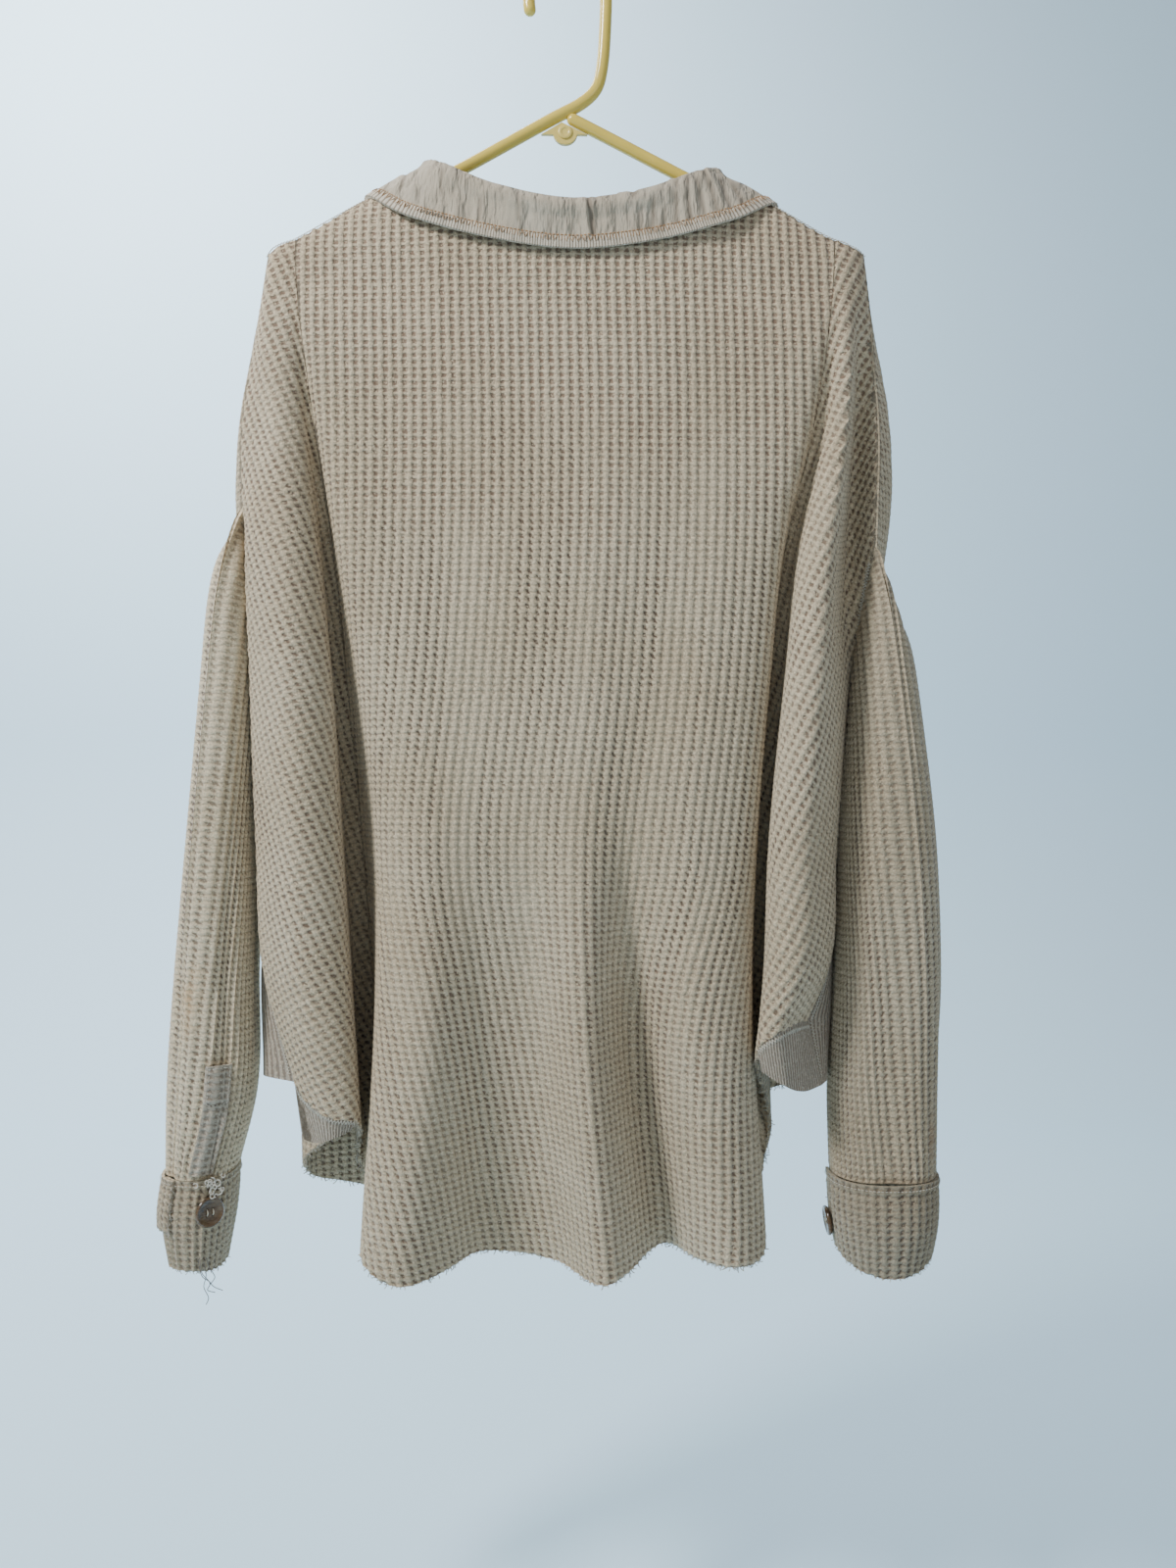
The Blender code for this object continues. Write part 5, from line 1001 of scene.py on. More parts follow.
def collar_surface():
    """The collar's middle surface, in rows from the neck seam over the fold to the free edge, with its
    outward normals and each row's share of the way down the fall."""
    seam, fold, edge = (np.array([row[k] for row in COLLAR], float) for k in (1, 2, 3))
    out = np.array([(*row[4], 0) for row in COLLAR], float) * 100
    guide, fold, edge, out = (across(line, [80] * (len(COLLAR) - 1)) for line in (seam, fold, edge, out))
    neck = evenly(neckline(), 2 * COLLAR_RIBS + 1)
    used = [int(np.argmin(np.sum((guide - point) ** 2, axis=1))) for point in neck]
    used = np.convolve(np.pad(used, 8, mode="edge"), np.ones(17) / 17, mode="valid")
    at = np.arange(len(guide))
    fold, edge, out = (at_places(used, at, line) for line in (fold, edge, out))
    out = unit(out)
    rows = [neck, neck + (fold - neck) * 0.5]
    for share, away, down in COLLAR_ROLL:
        rows.append(fold + (edge - fold) * share + out * away - np.array((0, 0, down)))
    panels = ((back_grid, -1), (front_left_grid, 1), (front_right_grid, -1))
    places = np.vstack([grid[:22, ::3].reshape(-1, 3) for grid, _ in panels])
    normals = np.vstack([(facing(grid[:22, ::3]) * sign).reshape(-1, 3) for grid, sign in panels])
    for row in range(4, len(rows)):      # the fall lies clear of the shoulders under it
        for k, point in enumerate(rows[row]):
            near = int(np.argmin(np.sum((places - point) ** 2, axis=1)))
            above = np.dot(point - places[near], normals[near])
            rows[row][k] = point + normals[near] * max(0.0, COLLAR_CLEARANCE - above)
        soft = np.pad(rows[row], ((6, 6), (0, 0)), mode="edge")
        rows[row] = sum(soft[k:k + len(neck)] for k in range(13)) / 13
    rows = np.array(rows)
    knots = np.concatenate([[0], np.cumsum(np.linalg.norm(np.diff(rows, axis=0), axis=2).mean(axis=1))])
    fine = [np.linspace(a, b, 15, endpoint=False) for a, b in zip(knots, knots[1:])]
    at = np.concatenate(fine + [knots[-1:]])
    columns, shares = [], []
    for c in range(len(neck)):
        line = hermite(knots, rows[:, c], at)
        lengths = run_along(line)
        band_top, fold_run = lengths[-1] - BAND_DEPTH, lengths[45]
        stops = np.concatenate([np.linspace(0, band_top - 0.15, COLLAR_ROWS),
                                band_top + np.linspace(0, BAND_DEPTH, BAND_ROWS)])
        columns.append(at_places(stops, lengths, line))
        shares.append((stops - fold_run) / (lengths[-1] - fold_run))
    grid = np.array(columns).transpose(1, 0, 2)
    normals = normals_of(grid)
    return grid, normals * np.sign(np.sum(normals[-1] * out)), np.array(shares).T


collar_grid, collar_normals, collar_share = collar_surface()
rng = np.random.default_rng(7)
along_collar = run_along(collar_grid[-1])
fall = np.clip(collar_share, 0, 1)
pucker = np.zeros(collar_grid.shape[:2])
for _ in range(330):                     # short soft puckers that start at the band's seam or at the fold
    middle_at, width = rng.uniform(0, along_collar[-1]), rng.uniform(1.0, 2.4)
    reach, depth, lean = rng.uniform(0.2, 0.8), rng.uniform(-0.5, 0.5), rng.uniform(-6, 6)
    grown = np.clip(1 - ((1 - fall) if rng.random() < 0.7 else fall) / reach, 0, 1) * (collar_share > -0.1)
    apart = along_collar[None, :] - middle_at - lean * (fall - 0.5)
    pucker += depth * grown * np.exp(-(apart / width) ** 2)
on_back = collar_grid[-1, :, 1] < 6.0
for top_x, low_x, depth, width, first, last in CREASES:
    offset = collar_grid[..., 0] - (top_x + (low_x - top_x) * fall)
    shape = np.clip((collar_share - first) / 0.12, 0, 1) * np.clip((last - collar_share) / 0.15, 0, 1)
    lip = np.exp(-((offset + 2.2 * width) / (1.5 * width)) ** 2)
    pucker -= depth * shape * (np.exp(-(offset / width) ** 2) - 0.5 * lip) * on_back[None, :]
in_band = np.arange(collar_grid.shape[0])[:, None] >= COLLAR_ROWS
ribs = np.where(np.arange(collar_grid.shape[1]) % 2 == 0, 0.3, -0.3)[None, :]
outer_lift = RIB / 2 + np.where(in_band, BAND_PROUD + ribs + 0.2 * pucker, np.maximum(pucker, -1.45))
inner_lift = np.where(in_band, -RIB / 2, -RIB / 2 + np.clip(pucker, -0.55, 0.6))
collar_outer = collar_grid + collar_normals * outer_lift[..., None]
collar_inner = collar_grid + collar_normals * inner_lift[..., None]


def shell(outer, inner, marks):
    """A closed wall between two grids of points, with a material for each face."""
    rows, cols = outer.shape[:2]
    index, quads = quads_of(rows, cols)
    base = rows * cols
    faces = quads.reshape(-1, 4).tolist() + (quads[..., ::-1] + base).reshape(-1, 4).tolist()
    which = marks.ravel().tolist() * 2
    border = np.concatenate([index[0, :-1], index[:-1, -1], index[-1, :0:-1], index[:0:-1, 0]])
    for a, b in zip(border, np.roll(border, -1)):
        faces.append([int(b), int(a), int(a + base), int(b + base)])
        which.append(int(marks.max()) if a >= index[-1, 0] else 0)
    return np.vstack([outer.reshape(-1, 3), inner.reshape(-1, 3)]), faces, which


def collar_material(name, tone, dark, rib):
    """Washed cotton: a fine plain weave with faint pale and dark streaks, and painted shade in the puckers
    and grooves.
    """
    shader = Shader(name)
    place = shader.coordinates("Object")
    streaks = shader.noise(shader.coordinates("Object", (220, 220, 30)), 1.0, 4.0, low=0.25, high=0.75)
    blotch = shader.noise(place, 24, 4.0, low=0.3, high=0.7)
    weave = shader.noise(place, 1500, 1.0)
    # Painted shade: the dark colour fills the puckers, creases and rib grooves that the pucker attribute
    # marks
    depth = shader.between(shader.attribute("pucker"), -0.9, 0.3)
    colour = shader.mix(streaks, toned(tone, 0.88), tone)
    colour = shader.mix(shader.times(blotch, 0.5), colour, toned(tone, (0.86, 0.80, 0.74)))
    colour = shader.mix(depth, dark, colour)
    colour = shader.mix(shader.times(weave, 0.18), colour, dark)
    height = shader.plus(shader.times(weave, 0.5), streaks)
    fine = shader.bump(height, 0.0004, 0.45 if not rib else 0.6)
    creases = shader.noise(shader.coordinates("Object", (95, 60, 26)), 1.0, 3.0, 0.55, 0.32, 0.68)
    return shader.finish(colour, 0.9, shader.bump(creases, 0.0035, 0.25 if rib else 0.8, fine), sheen=0.2)


collar_cloth = collar_material("collar cloth", (0.55, 0.49, 0.375), (0.26, 0.215, 0.16), False)
edge_rib = collar_material("collar edge rib", (0.74, 0.68, 0.55), (0.22, 0.17, 0.115), True)
in_band_faces = np.broadcast_to(in_band, pucker.shape)[:-1, :-1].astype(int)
points, faces, marks = shell(collar_outer, collar_inner, in_band_faces)
corner = [collar_outer[-3, 300], collar_outer[-3, 301], collar_outer[-2, 301]]
if np.dot(np.cross(corner[1] - corner[0], corner[2] - corner[0]), collar_normals[-3, 300]) < 0:
    faces = [face[::-1] for face in faces]
collar_mesh = mesh_of("collar_cloth", points, faces, [collar_cloth, edge_rib], marks, SHARP)
# The pucker attribute tells the material where to paint shade
layer = collar_mesh.attributes.new("pucker", "FLOAT", "POINT")
shaded = np.where(in_band, 3.2 * ribs, pucker)       # painted shade in the grooves between the ribs as well
layer.data.foreach_set("value", np.concatenate([shaded.ravel(), pucker.ravel()]))
collar = add_piece("collar_cloth", collar_mesh, "collar")

# ---- The front band ------------------------------------------------------------------------------
# The button band down both fronts' edges, which the photograph doesn't show: the same knit, folded and
# topstitched, half a millimetre off the fronts.
BAND_LEFT, BAND_RIGHT, BAND_GAP = -14.0, 22.0, 0.5
band_rows = []
for row in range(front_left_grid.shape[0]):
    line = np.vstack([front_left_grid[row], front_right_grid[row, ::-1]])
    line = line[line[:, 0].argsort()]
    band_rows.append([(x, *(np.interp(x, line[:, 0], line[:, k]) for k in (1, 2)))
                      for x in np.linspace(BAND_LEFT, BAND_RIGHT, 20)])
band_grid = np.array(band_rows)
band_grid += normals_of(band_grid) * (CLOTH + BAND_GAP)
band_width = run_along(band_grid[30])[-1]
band_knit = knit(lay_flat(band_grid, width=band_width), 1, cell=(band_width / 5, CELL_HEIGHT), raw_hem=False)
band = mesh_piece("front_band_cloth", [band_knit], waffle)

# ---- The buttons ---------------------------------------------------------------------------------
# Four-hole buttons of brown horn with a turned rim and a dished middle, sewn on with cream thread: one on
# each cuff and six down the front band.
BUTTON_RADIUS, BUTTON_THICKNESS = 10.5, 3.2
BUTTON_HOLE, HOLE_PLACE = 1.0, 2.1       # radius, and distance of each hole from the middle on both axes
THREAD_RADIUS, THREAD_BOW = 0.45, 1.6    # the bow is how far the thread stands over the dish


def horn_material():
    """Polished horn: dark brown with smoky, paler bands and fine streaks."""
    shader = Shader("horn")
    place = shader.coordinates("Object")
    smoke = shader.noise(place, 55, 4.0, 0.6, 0.3, 0.7)
    fine = shader.noise(shader.coordinates("Object", (200, 200, 900)), 1.0, 3.0)
    colour = shader.mix(smoke, (0.030, 0.015, 0.008), (0.17, 0.095, 0.045))
    colour = shader.mix(shader.times(fine, 0.22), colour, (0.34, 0.24, 0.13))
    shader.principled.inputs["Coat Weight"].default_value = 0.6
    shader.principled.inputs["Coat Roughness"].default_value = 0.15
    return shader.finish(colour, 0.26, shader.bump(fine, 0.0002, 0.15))


def turned(profile, sides):
    """Points and faces of a turned form about Z, closed where its profile meets the axis."""
    verts, faces, rings = [], [], []
    for radius, height in profile:
        count = 1 if radius == 0 else sides
        rings.append(range(len(verts), len(verts) + count))
        verts += [(radius * cos(2 * pi * k / sides), radius * sin(2 * pi * k / sides), height)
                  for k in range(count)]
    for low, high in zip(rings, rings[1:]):
        for k in range(sides):
            corners = (low[k % len(low)], low[(k + 1) % len(low)],
                       high[(k + 1) % len(high)], high[k % len(high)])
            faces.append([v for n, v in enumerate(corners) if v not in corners[:n]])
    return verts, faces


def ring_faces(rings, sides, start=0):
    """The faces of a closed tube of rings of points."""
    faces = []
    for ring in range(rings - 1):
        for k in range(sides):
            a, b = start + ring * sides + k, start + ring * sides + (k + 1) % sides
            faces.append([a, a + sides, b + sides, b])
    last = start + rings * sides - 1
    return faces + [[start + k for k in range(sides)], [last - k for k in range(sides)]]


def made_by(guide):
    """The mesh that a guide's modifiers or curve make; the guide itself goes."""
    mesh = bpy.data.meshes.new_from_object(guide.evaluated_get(bpy.context.evaluated_depsgraph_get()))
    bpy.data.objects.remove(guide)
    return mesh


def button_mesh():
    """One button about the origin, its face along Z, with its holes cut through."""
    r, t = BUTTON_RADIUS, BUTTON_THICKNESS
    profile = ((0, 0.25), (r * 0.6, 0.1), (r * 0.86, 0.0), (r * 0.96, t * 0.3), (r, t * 0.55),
               (r * 0.98, t * 0.82), (r * 0.92, t), (r * 0.82, t * 0.97), (r * 0.74, t * 0.78),
               (r * 0.6, t * 0.64), (r * 0.35, t * 0.58), (0, t * 0.56))
    body = placed("button", mesh_of("button", *turned(profile, 40)))
    verts, faces = [], []
    for x in (-HOLE_PLACE, HOLE_PLACE):
        for y in (-HOLE_PLACE, HOLE_PLACE):
            ring, sides = turned(((0, -2), (BUTTON_HOLE, -2), (BUTTON_HOLE, t + 2), (0, t + 2)), 14)
            faces += [[v + len(verts) for v in face] for face in sides]
            verts += [(a + x, b + y, c) for a, b, c in ring]
    drill = placed("button drill", mesh_of("button drill", verts, faces))
    cut = body.modifiers.new("holes", "BOOLEAN")
    cut.object, cut.operation, cut.solver = drill, "DIFFERENCE", "EXACT"
    drilled = made_by(body)
    bpy.data.objects.remove(drill)
    return drilled


def thread_through(radius, bow):
    """Two bars of thread over the button's middle, from hole to hole: points and faces of six-sided tubes."""
    verts, faces = [], []
    for lane in (-HOLE_PLACE, HOLE_PLACE):
        start = len(verts)
        for step in np.linspace(-1, 1, 9):
            y, z = step * HOLE_PLACE * 1.15, BUTTON_THICKNESS * 0.5 + bow * (1 - step * step)
            verts += [(lane + radius * cos(a), y, z + radius * sin(a)) for a in np.arange(6) * pi / 3]
        faces += ring_faces(9, 6, start)
    return verts, faces


horn = horn_material()
button_thread = Shader("button thread").finish((0.62, 0.55, 0.42), 0.8)
drilled = button_mesh()


def button(node, grid, outward):
    """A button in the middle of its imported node's box, facing out of the nearest place of a surface."""
    low, high = (np.array(corner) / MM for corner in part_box(node))
    centre = (low + high) / 2
    normals = normals_of(grid) * outward
    row, col = np.unravel_index(np.argmin(np.sum((grid - centre) ** 2, axis=2)), grid.shape[:2])
    normal = normals[row, col]
    side = unit(np.cross(normal, (0.0, 0.0, 1.0)))
    frame_of = np.array([side, np.cross(normal, side), normal])
    base = centre - normal * BUTTON_THICKNESS / 2
    body = [(np.array(v.co) / MM) @ frame_of + base for v in drilled.vertices]
    thread, thread_faces = thread_through(THREAD_RADIUS, THREAD_BOW)
    faces = [list(face.vertices) for face in drilled.polygons]
    marks = [0] * len(faces) + [1] * len(thread_faces)
    faces += [[v + len(body) for v in face] for face in thread_faces]
    body += [np.array(v) @ frame_of + base for v in thread]
    mesh = mesh_of(node + "_horn", body, faces, [horn, button_thread], marks, 0.7)
    return add_piece(node + "_horn", mesh, node)


def outward_of(grid):
    """1 or -1: the sign that turns a tube's normals outwards."""
    normals = np.cross(np.gradient(grid, axis=1), np.gradient(grid, axis=0))
    return 1 if np.sum(normals * (grid - grid.mean(axis=(0, 1)))) > 0 else -1


button("cuff_button_left", cuff_left_grid, outward_of(cuff_left_grid))
button("cuff_button_right", cuff_right_grid, outward_of(cuff_right_grid))
for number in range(1, 7):
    button("front_button_%d" % number, band_grid, 1)

# ---- The stitches --------------------------------------------------------------------------------
# Thread that shows on the outside: cream overlock along the shoulders, armholes and side strips, tan running
# and slanted stitches along the collar's edge band, and fine lines round the placket's box and along the
# cuffs' top edges and the front band.


class Tree(Nodes):
    """A Geometry Nodes tree under construction, with named inputs for its sizes."""

    def __init__(self, name, sizes):
        self.tree = bpy.data.node_groups.new(name, "GeometryNodeTree")
        face = self.tree.interface
        face.new_socket("Geometry", in_out="INPUT", socket_type="NodeSocketGeometry")
        face.new_socket("Geometry", in_out="OUTPUT", socket_type="NodeSocketGeometry")
        for label, value in sizes.items():
            kind = {int: "NodeSocketInt", float: "NodeSocketFloat"}.get(type(value), "NodeSocketMaterial")
            socket = face.new_socket(label, in_out="INPUT", socket_type=kind)
            if value is not None:
                socket.default_value = value
        self.start = self.tree.nodes.new("NodeGroupInput").outputs
        self.end = self.tree.nodes.new("NodeGroupOutput").inputs[0]

    def finish(self, geometry):
        real = self.add("GeometryNodeRealizeInstances", {"Geometry": geometry})
        dressed = self.add("GeometryNodeSetMaterial", {"Geometry": real, "Material": self.start["Material"]})
        self.tree.links.new(dressed, self.end)
        return self.tree


def stitch_tree():
    """Stitches laid along a path: round-ended bars of thread, turned to and fro by the slant."""
    tree = Tree("stitches", {"Pitch": 0.0028, "Length": 0.0022, "Thickness": 0.0005, "Slant": 0.0,
                             "Uneven": 0.15, "Seed": 1, "Material": None})
    size = tree.start
    path = tree.add("GeometryNodeMeshToCurve", {"Mesh": size["Geometry"]})
    path = tree.add("GeometryNodeResampleCurve", {"Curve": path, "Length": size["Pitch"]}, mode="LENGTH")
    outward = tree.add("GeometryNodeInputNamedAttribute", {"Name": "outward"}, data_type="FLOAT_VECTOR")
    along = tree.add("GeometryNodeInputTangent")
    turn = tree.add("FunctionNodeAlignRotationToVector", {"Vector": along}, axis="X")
    turn = tree.add("FunctionNodeAlignRotationToVector", {"Rotation": turn, "Vector": outward}, axis="Z",
                    pivot_axis="X")
    odd = tree.add("ShaderNodeMath", {0: tree.add("GeometryNodeInputIndex"), 1: 2.0}, operation="MODULO")
    sign = tree.add("ShaderNodeMath", {0: odd, 1: 2.0, 2: -1.0}, operation="MULTIPLY_ADD")
    shake = tree.add("FunctionNodeRandomValue", {2: -1.0, 3: 1.0, "Seed": size["Seed"]}, 1, data_type="FLOAT")
    loose = tree.add("ShaderNodeMath", {0: shake, 1: size["Uneven"]}, operation="MULTIPLY")
    angle = tree.add("ShaderNodeMath", {0: size["Slant"], 1: sign, 2: loose}, operation="MULTIPLY_ADD")
    spin = tree.add("FunctionNodeAxisAngleToRotation", {"Axis": (0, 0, 1), "Angle": angle})
    turn = tree.add("FunctionNodeRotateRotation", {"Rotation": turn, "Rotate By": spin},
                    rotation_space="LOCAL")
    shape = tree.add("ShaderNodeCombineXYZ", {0: size["Length"], 1: size["Thickness"], 2: size["Thickness"]})
    bar = tree.add("GeometryNodeMeshUVSphere", {"Segments": 6, "Rings": 5, "Radius": 0.5})
    laid = tree.add("GeometryNodeInstanceOnPoints", {"Points": path, "Instance": bar, "Rotation": turn,
                                                     "Scale": shape})
    return tree.finish(laid)


def along_path(name, tree, paths, values):
    """Runs a tree on paths of points with outward directions, and keeps what it makes as a plain mesh."""
    verts, outs, edges = [], [], []
    for points, normals in paths:
        start = len(verts)
        verts += [tuple(p * MM) for p in points]
        outs += [tuple(n) for n in unit(np.asarray(normals, float))]
        edges += [(start + k, start + k + 1) for k in range(len(points) - 1)]
    mesh = bpy.data.meshes.new(name)
    mesh.from_pydata(verts, edges, [])
    mesh.attributes.new("outward", "FLOAT_VECTOR", "POINT").data.foreach_set("vector", np.array(outs).ravel())
    guide = placed(name + " guide", mesh)
    maker = guide.modifiers.new("maker", "NODES")
    maker.node_group = tree
    sockets = {item.name: item.identifier for item in tree.interface.items_tree if item.in_out == "INPUT"}
    for label, value in values.items():
        maker[sockets[label]] = value
    made = made_by(guide)
    made.name = name
    if not made.materials:
        made.materials.append(values["Material"])
    made.shade_smooth()
    return add_piece(name, made)


def thread_material(name, colour):
    """Spun cotton thread: matt, with a slight change of tone along it."""
    shader = Shader(name)
    place = shader.coordinates("Object")
    tone = shader.noise(place, 300, 3.0)
    twist = shader.noise(place, 4000, 1.0)
    return shader.finish(shader.mix(tone, toned(colour, 0.8), colour), 0.85, shader.bump(twist, 0.0002, 0.4),
                         sheen=0.2)


def on_surface(grid, outward, rows, cols, lift):
    """A path over a surface through given rows and columns, lifted off it, with its outward directions."""
    normals = facing(grid) * outward
    return grid[rows, cols] + normals[rows, cols] * lift, normals[rows, cols]


cream_thread = thread_material("cream thread", (0.66, 0.61, 0.50))
tan_thread = thread_material("tan thread", (0.52, 0.29, 0.13))
stitches = stitch_tree()
# Stitches, in metres: pitch along the seam, length and thickness of each, and its slant across it in radians
OVERLOCK = {"Pitch": 0.0011, "Length": 0.0042, "Thickness": 0.0007, "Slant": 1.15, "Uneven": 0.2, "Seed": 3,
            "Material": cream_thread}
RUNNING = {"Pitch": 0.0027, "Length": 0.0022, "Thickness": 0.00055, "Slant": 0.0, "Uneven": 0.12, "Seed": 5,
           "Material": cream_thread}
last_column = back_grid.shape[1] - 2
shoulder_paths = [on_surface(back_grid, -1, 2, cols, CLOTH / 2 + 0.9)
                  for cols in (np.arange(2, back_lines[7] + 1), np.arange(back_lines[14], last_column))]
for column, top in ((1, LEFT_TOP), (last_column, RIGHT_TOP)):        # and on down the armholes
    rows = np.flatnonzero((back_grid[:, column, 2] < top) & (back_grid[:, column, 2] > UNDERARM))
    shoulder_paths.append(on_surface(back_grid, -1, rows, column, CLOTH / 2 + 0.7))
along_path("stitches_shoulders", stitches, shoulder_paths, OVERLOCK)

strip_rows = np.arange(2, 58)
side_paths = [on_surface(gusset_left_grid, 1, strip_rows, 2, RIB / 2 + 0.4),
              on_surface(gusset_right_grid, -1, strip_rows, 2, RIB / 2 + 0.4)]
for grid in (godet_left_grid, godet_right_grid):
    side_paths.append(on_surface(grid, -1, 1, np.arange(1, grid.shape[1] - 1), RIB / 2 + 0.4))
along_path("stitches_sides", stitches, side_paths, OVERLOCK)

SEAM_ROW, COVER_ROW = COLLAR_ROWS - 2, COLLAR_ROWS + 1       # just above the edge band, and on its top
topstitch = collar_outer[SEAM_ROW] + collar_normals[SEAM_ROW] * 0.2
covered = collar_outer[COVER_ROW] + collar_normals[COVER_ROW] * 0.25
along_path("stitches_collar", stitches, [(topstitch, collar_normals[SEAM_ROW])],
           {**RUNNING, "Thickness": 0.0008, "Material": tan_thread, "Seed": 11})
along_path("stitches_collar_band", stitches, [(covered, collar_normals[COVER_ROW])],
           {**OVERLOCK, "Pitch": 0.0024, "Length": 0.0052, "Thickness": 0.0005, "Slant": 1.3,
            "Material": tan_thread, "Seed": 12})

box_row = int(np.argmin(np.abs(placket_left_grid[:, 12, 2] - BOX_FOOT)))
round_box = ([(1, c) for c in range(3, 21)] + [(r, 21) for r in range(1, box_row)]
             + [(box_row, c) for c in range(21, 2, -1)] + [(r, 3) for r in range(box_row, 0, -1)])
box_rows, box_cols = np.array(round_box).T
fine_paths = [on_surface(placket_left_grid, -1, box_rows, box_cols, RIB / 2 + 1.0)]
for grid in (cuff_left_grid, cuff_right_grid):
    fine_paths.append(on_surface(grid, outward_of(grid), 2, np.arange(2, 198), CLOTH / 2 + 0.75))
for column in (2, 17):
    down_it = np.arange(2, band_grid.shape[0] - 2)
    fine_paths.append(on_surface(band_grid, 1, down_it, column, CLOTH / 2 + 0.75))
along_path("stitches_fine", stitches, fine_paths, RUNNING)

# ---- The frayed hems -----------------------------------------------------------------------------
# The hems and cuffs are cut raw, so short ends of yarn curl out of them, a worn place on the left cuff has
# sprung open in small loops, and a few thread tails hang from that cuff.


def fray_tree():
    """Short curled ends of yarn, scattered along a path and hanging from it."""
    tree = Tree("frayed yarn", {"Pitch": 0.001, "Length": 0.004, "Thickness": 0.0002, "Splay": 0.9, "Seed": 1,
                                "Material": None})
    size = tree.start
    path = tree.add("GeometryNodeMeshToCurve", {"Mesh": size["Geometry"]})
    path = tree.add("GeometryNodeResampleCurve", {"Curve": path, "Length": size["Pitch"]}, mode="LENGTH")
    end = tree.add("GeometryNodeCurveQuadraticBezier", {
        "Resolution": 5, "Start": (0, 0, 0.2), "Middle": (0.1, 0.35, -0.45), "End": (0.3, -0.1, -0.8)})
    thick = tree.add("ShaderNodeMath", {0: size["Thickness"], 1: size["Length"]}, operation="DIVIDE")
    profile = tree.add("GeometryNodeCurvePrimitiveCircle", {"Resolution": 4, "Radius": thick})
    strand = tree.add("GeometryNodeCurveToMesh", {"Curve": end, "Profile Curve": profile, "Fill Caps": True})
    least = tree.add("ShaderNodeMath", {0: size["Splay"], 1: -1.0}, operation="MULTIPLY")
    low = tree.add("ShaderNodeCombineXYZ", {0: least, 1: least, 2: -pi})
    high = tree.add("ShaderNodeCombineXYZ", {0: size["Splay"], 1: size["Splay"], 2: pi})
    turn = tree.add("FunctionNodeRandomValue", {0: low, 1: high, "Seed": size["Seed"]},
                    data_type="FLOAT_VECTOR")
    grow = tree.add("FunctionNodeRandomValue", {2: 0.35, 3: 1.15, "Seed": size["Seed"]}, 1, data_type="FLOAT")
    scale = tree.add("ShaderNodeMath", {0: grow, 1: size["Length"]}, operation="MULTIPLY")
    turn = tree.add("FunctionNodeEulerToRotation", {"Euler": turn})
    laid = tree.add("GeometryNodeInstanceOnPoints", {"Points": path, "Instance": strand, "Rotation": turn,
                                                     "Scale": scale})
    return tree.finish(laid)


frays = fray_tree()
yarn = thread_material("loose yarn", (0.56, 0.50, 0.40))
FRAY = {"Pitch": 0.0009, "Length": 0.0045, "Thickness": 0.0003, "Splay": 1.1, "Seed": 2, "Material": yarn}


def hem_path(grid, cols, outward):
    """The hem between two columns, just inside the cut edge."""
    normals = facing(grid) * outward
    return grid[-1, cols] + (0, 0, 0.6), normals[-1, cols]


hem_paths = [hem_path(back_grid, np.arange(back_lines[3], back_lines[18] + 1), -1),
             hem_path(front_left_grid, np.arange(1, front_left_grid.shape[1]), 1),
             hem_path(front_right_grid, np.arange(1, front_right_grid.shape[1]), -1)]
along_path("frays_hem", frays, hem_paths, FRAY)
cuff_paths = [hem_path(cuff_left_grid, np.arange(200), 1), hem_path(cuff_right_grid, np.arange(200), 1)]
for grid in (cuff_left_grid, cuff_right_grid):       # and the lap's end, below the folded top edge
    cuff_paths.append((grid[4:, -1], facing(grid)[4:, -1]))
along_path("frays_cuffs", frays, cuff_paths, {**FRAY, "Length": 0.0038, "Seed": 9})


def wound(name, paths, radius, mat):
    """Round threads through points in millimetres, closed at both ends."""
    curve = bpy.data.curves.new(name, "CURVE")
    curve.dimensions, curve.use_fill_caps = "3D", True
    curve.bevel_depth, curve.bevel_resolution = radius * MM, 2
    for points in paths:
        spline = curve.splines.new("POLY")
        table = np.array(points, float)
        fine = across(table, [6] * (len(table) - 1))
        spline.points.add(len(fine) - 1)
        spline.points.foreach_set("co", np.column_stack([fine * MM, np.ones(len(fine))]).ravel())
    mesh = made_by(placed(name + " guide", curve))
    joined = bmesh.new()
    joined.from_mesh(mesh)
    bmesh.ops.remove_doubles(joined, verts=joined.verts, dist=1e-6)
    bmesh.ops.recalc_face_normals(joined, faces=joined.faces)
    joined.to_mesh(mesh)
    joined.free()
    mesh.name = name
    mesh.materials.clear()
    mesh.materials.append(mat)
    mesh.shade_smooth()
    return add_piece(name, mesh)


# Thread tails at the left cuff's hem, each from its root down
TAILS = (
    ((-254.5, -14.5, -903), (-252, -18, -912), (-246, -19, -919), (-248, -18, -924), (-243, -17, -926)),
    ((-252, -14.5, -905), (-249, -18, -914), (-250, -20, -921), (-247, -19, -929), (-249, -18, -934)),
    ((-256, -14, -904), (-252, -17, -915), (-247, -18, -918), (-244, -17, -922), (-238, -16, -925)),
    ((-250, -14.5, -903), (-247, -17, -909), (-243, -18, -915), (-247, -17, -921)),
)
wound("thread_tails", TAILS, 0.28, thread_material("grey thread", (0.16, 0.15, 0.13)))

WORN = (-244.5, -14.5, -853.5)           # the worn place at the foot of the left sleeve's slit
rng = np.random.default_rng(21)
loops = []
for _ in range(16):
    centre = np.array(WORN) + rng.normal(0, 1, 3) * (4.2, 0.6, 3.6) + (0, -1.2, 0)
    radius, tip, first = rng.uniform(1.1, 2.1), rng.uniform(-0.6, 0.6), rng.uniform(0, 2 * pi)
    loops.append([centre + radius * np.array((cos(a), sin(tip) * sin(a) * 0.6, sin(a)))
                  for a in first + np.linspace(0, rng.uniform(1.2, 1.9) * pi, 9)])
wound("worn_loops", loops, 0.42, thread_material("worn yarn", (0.62, 0.58, 0.49)))

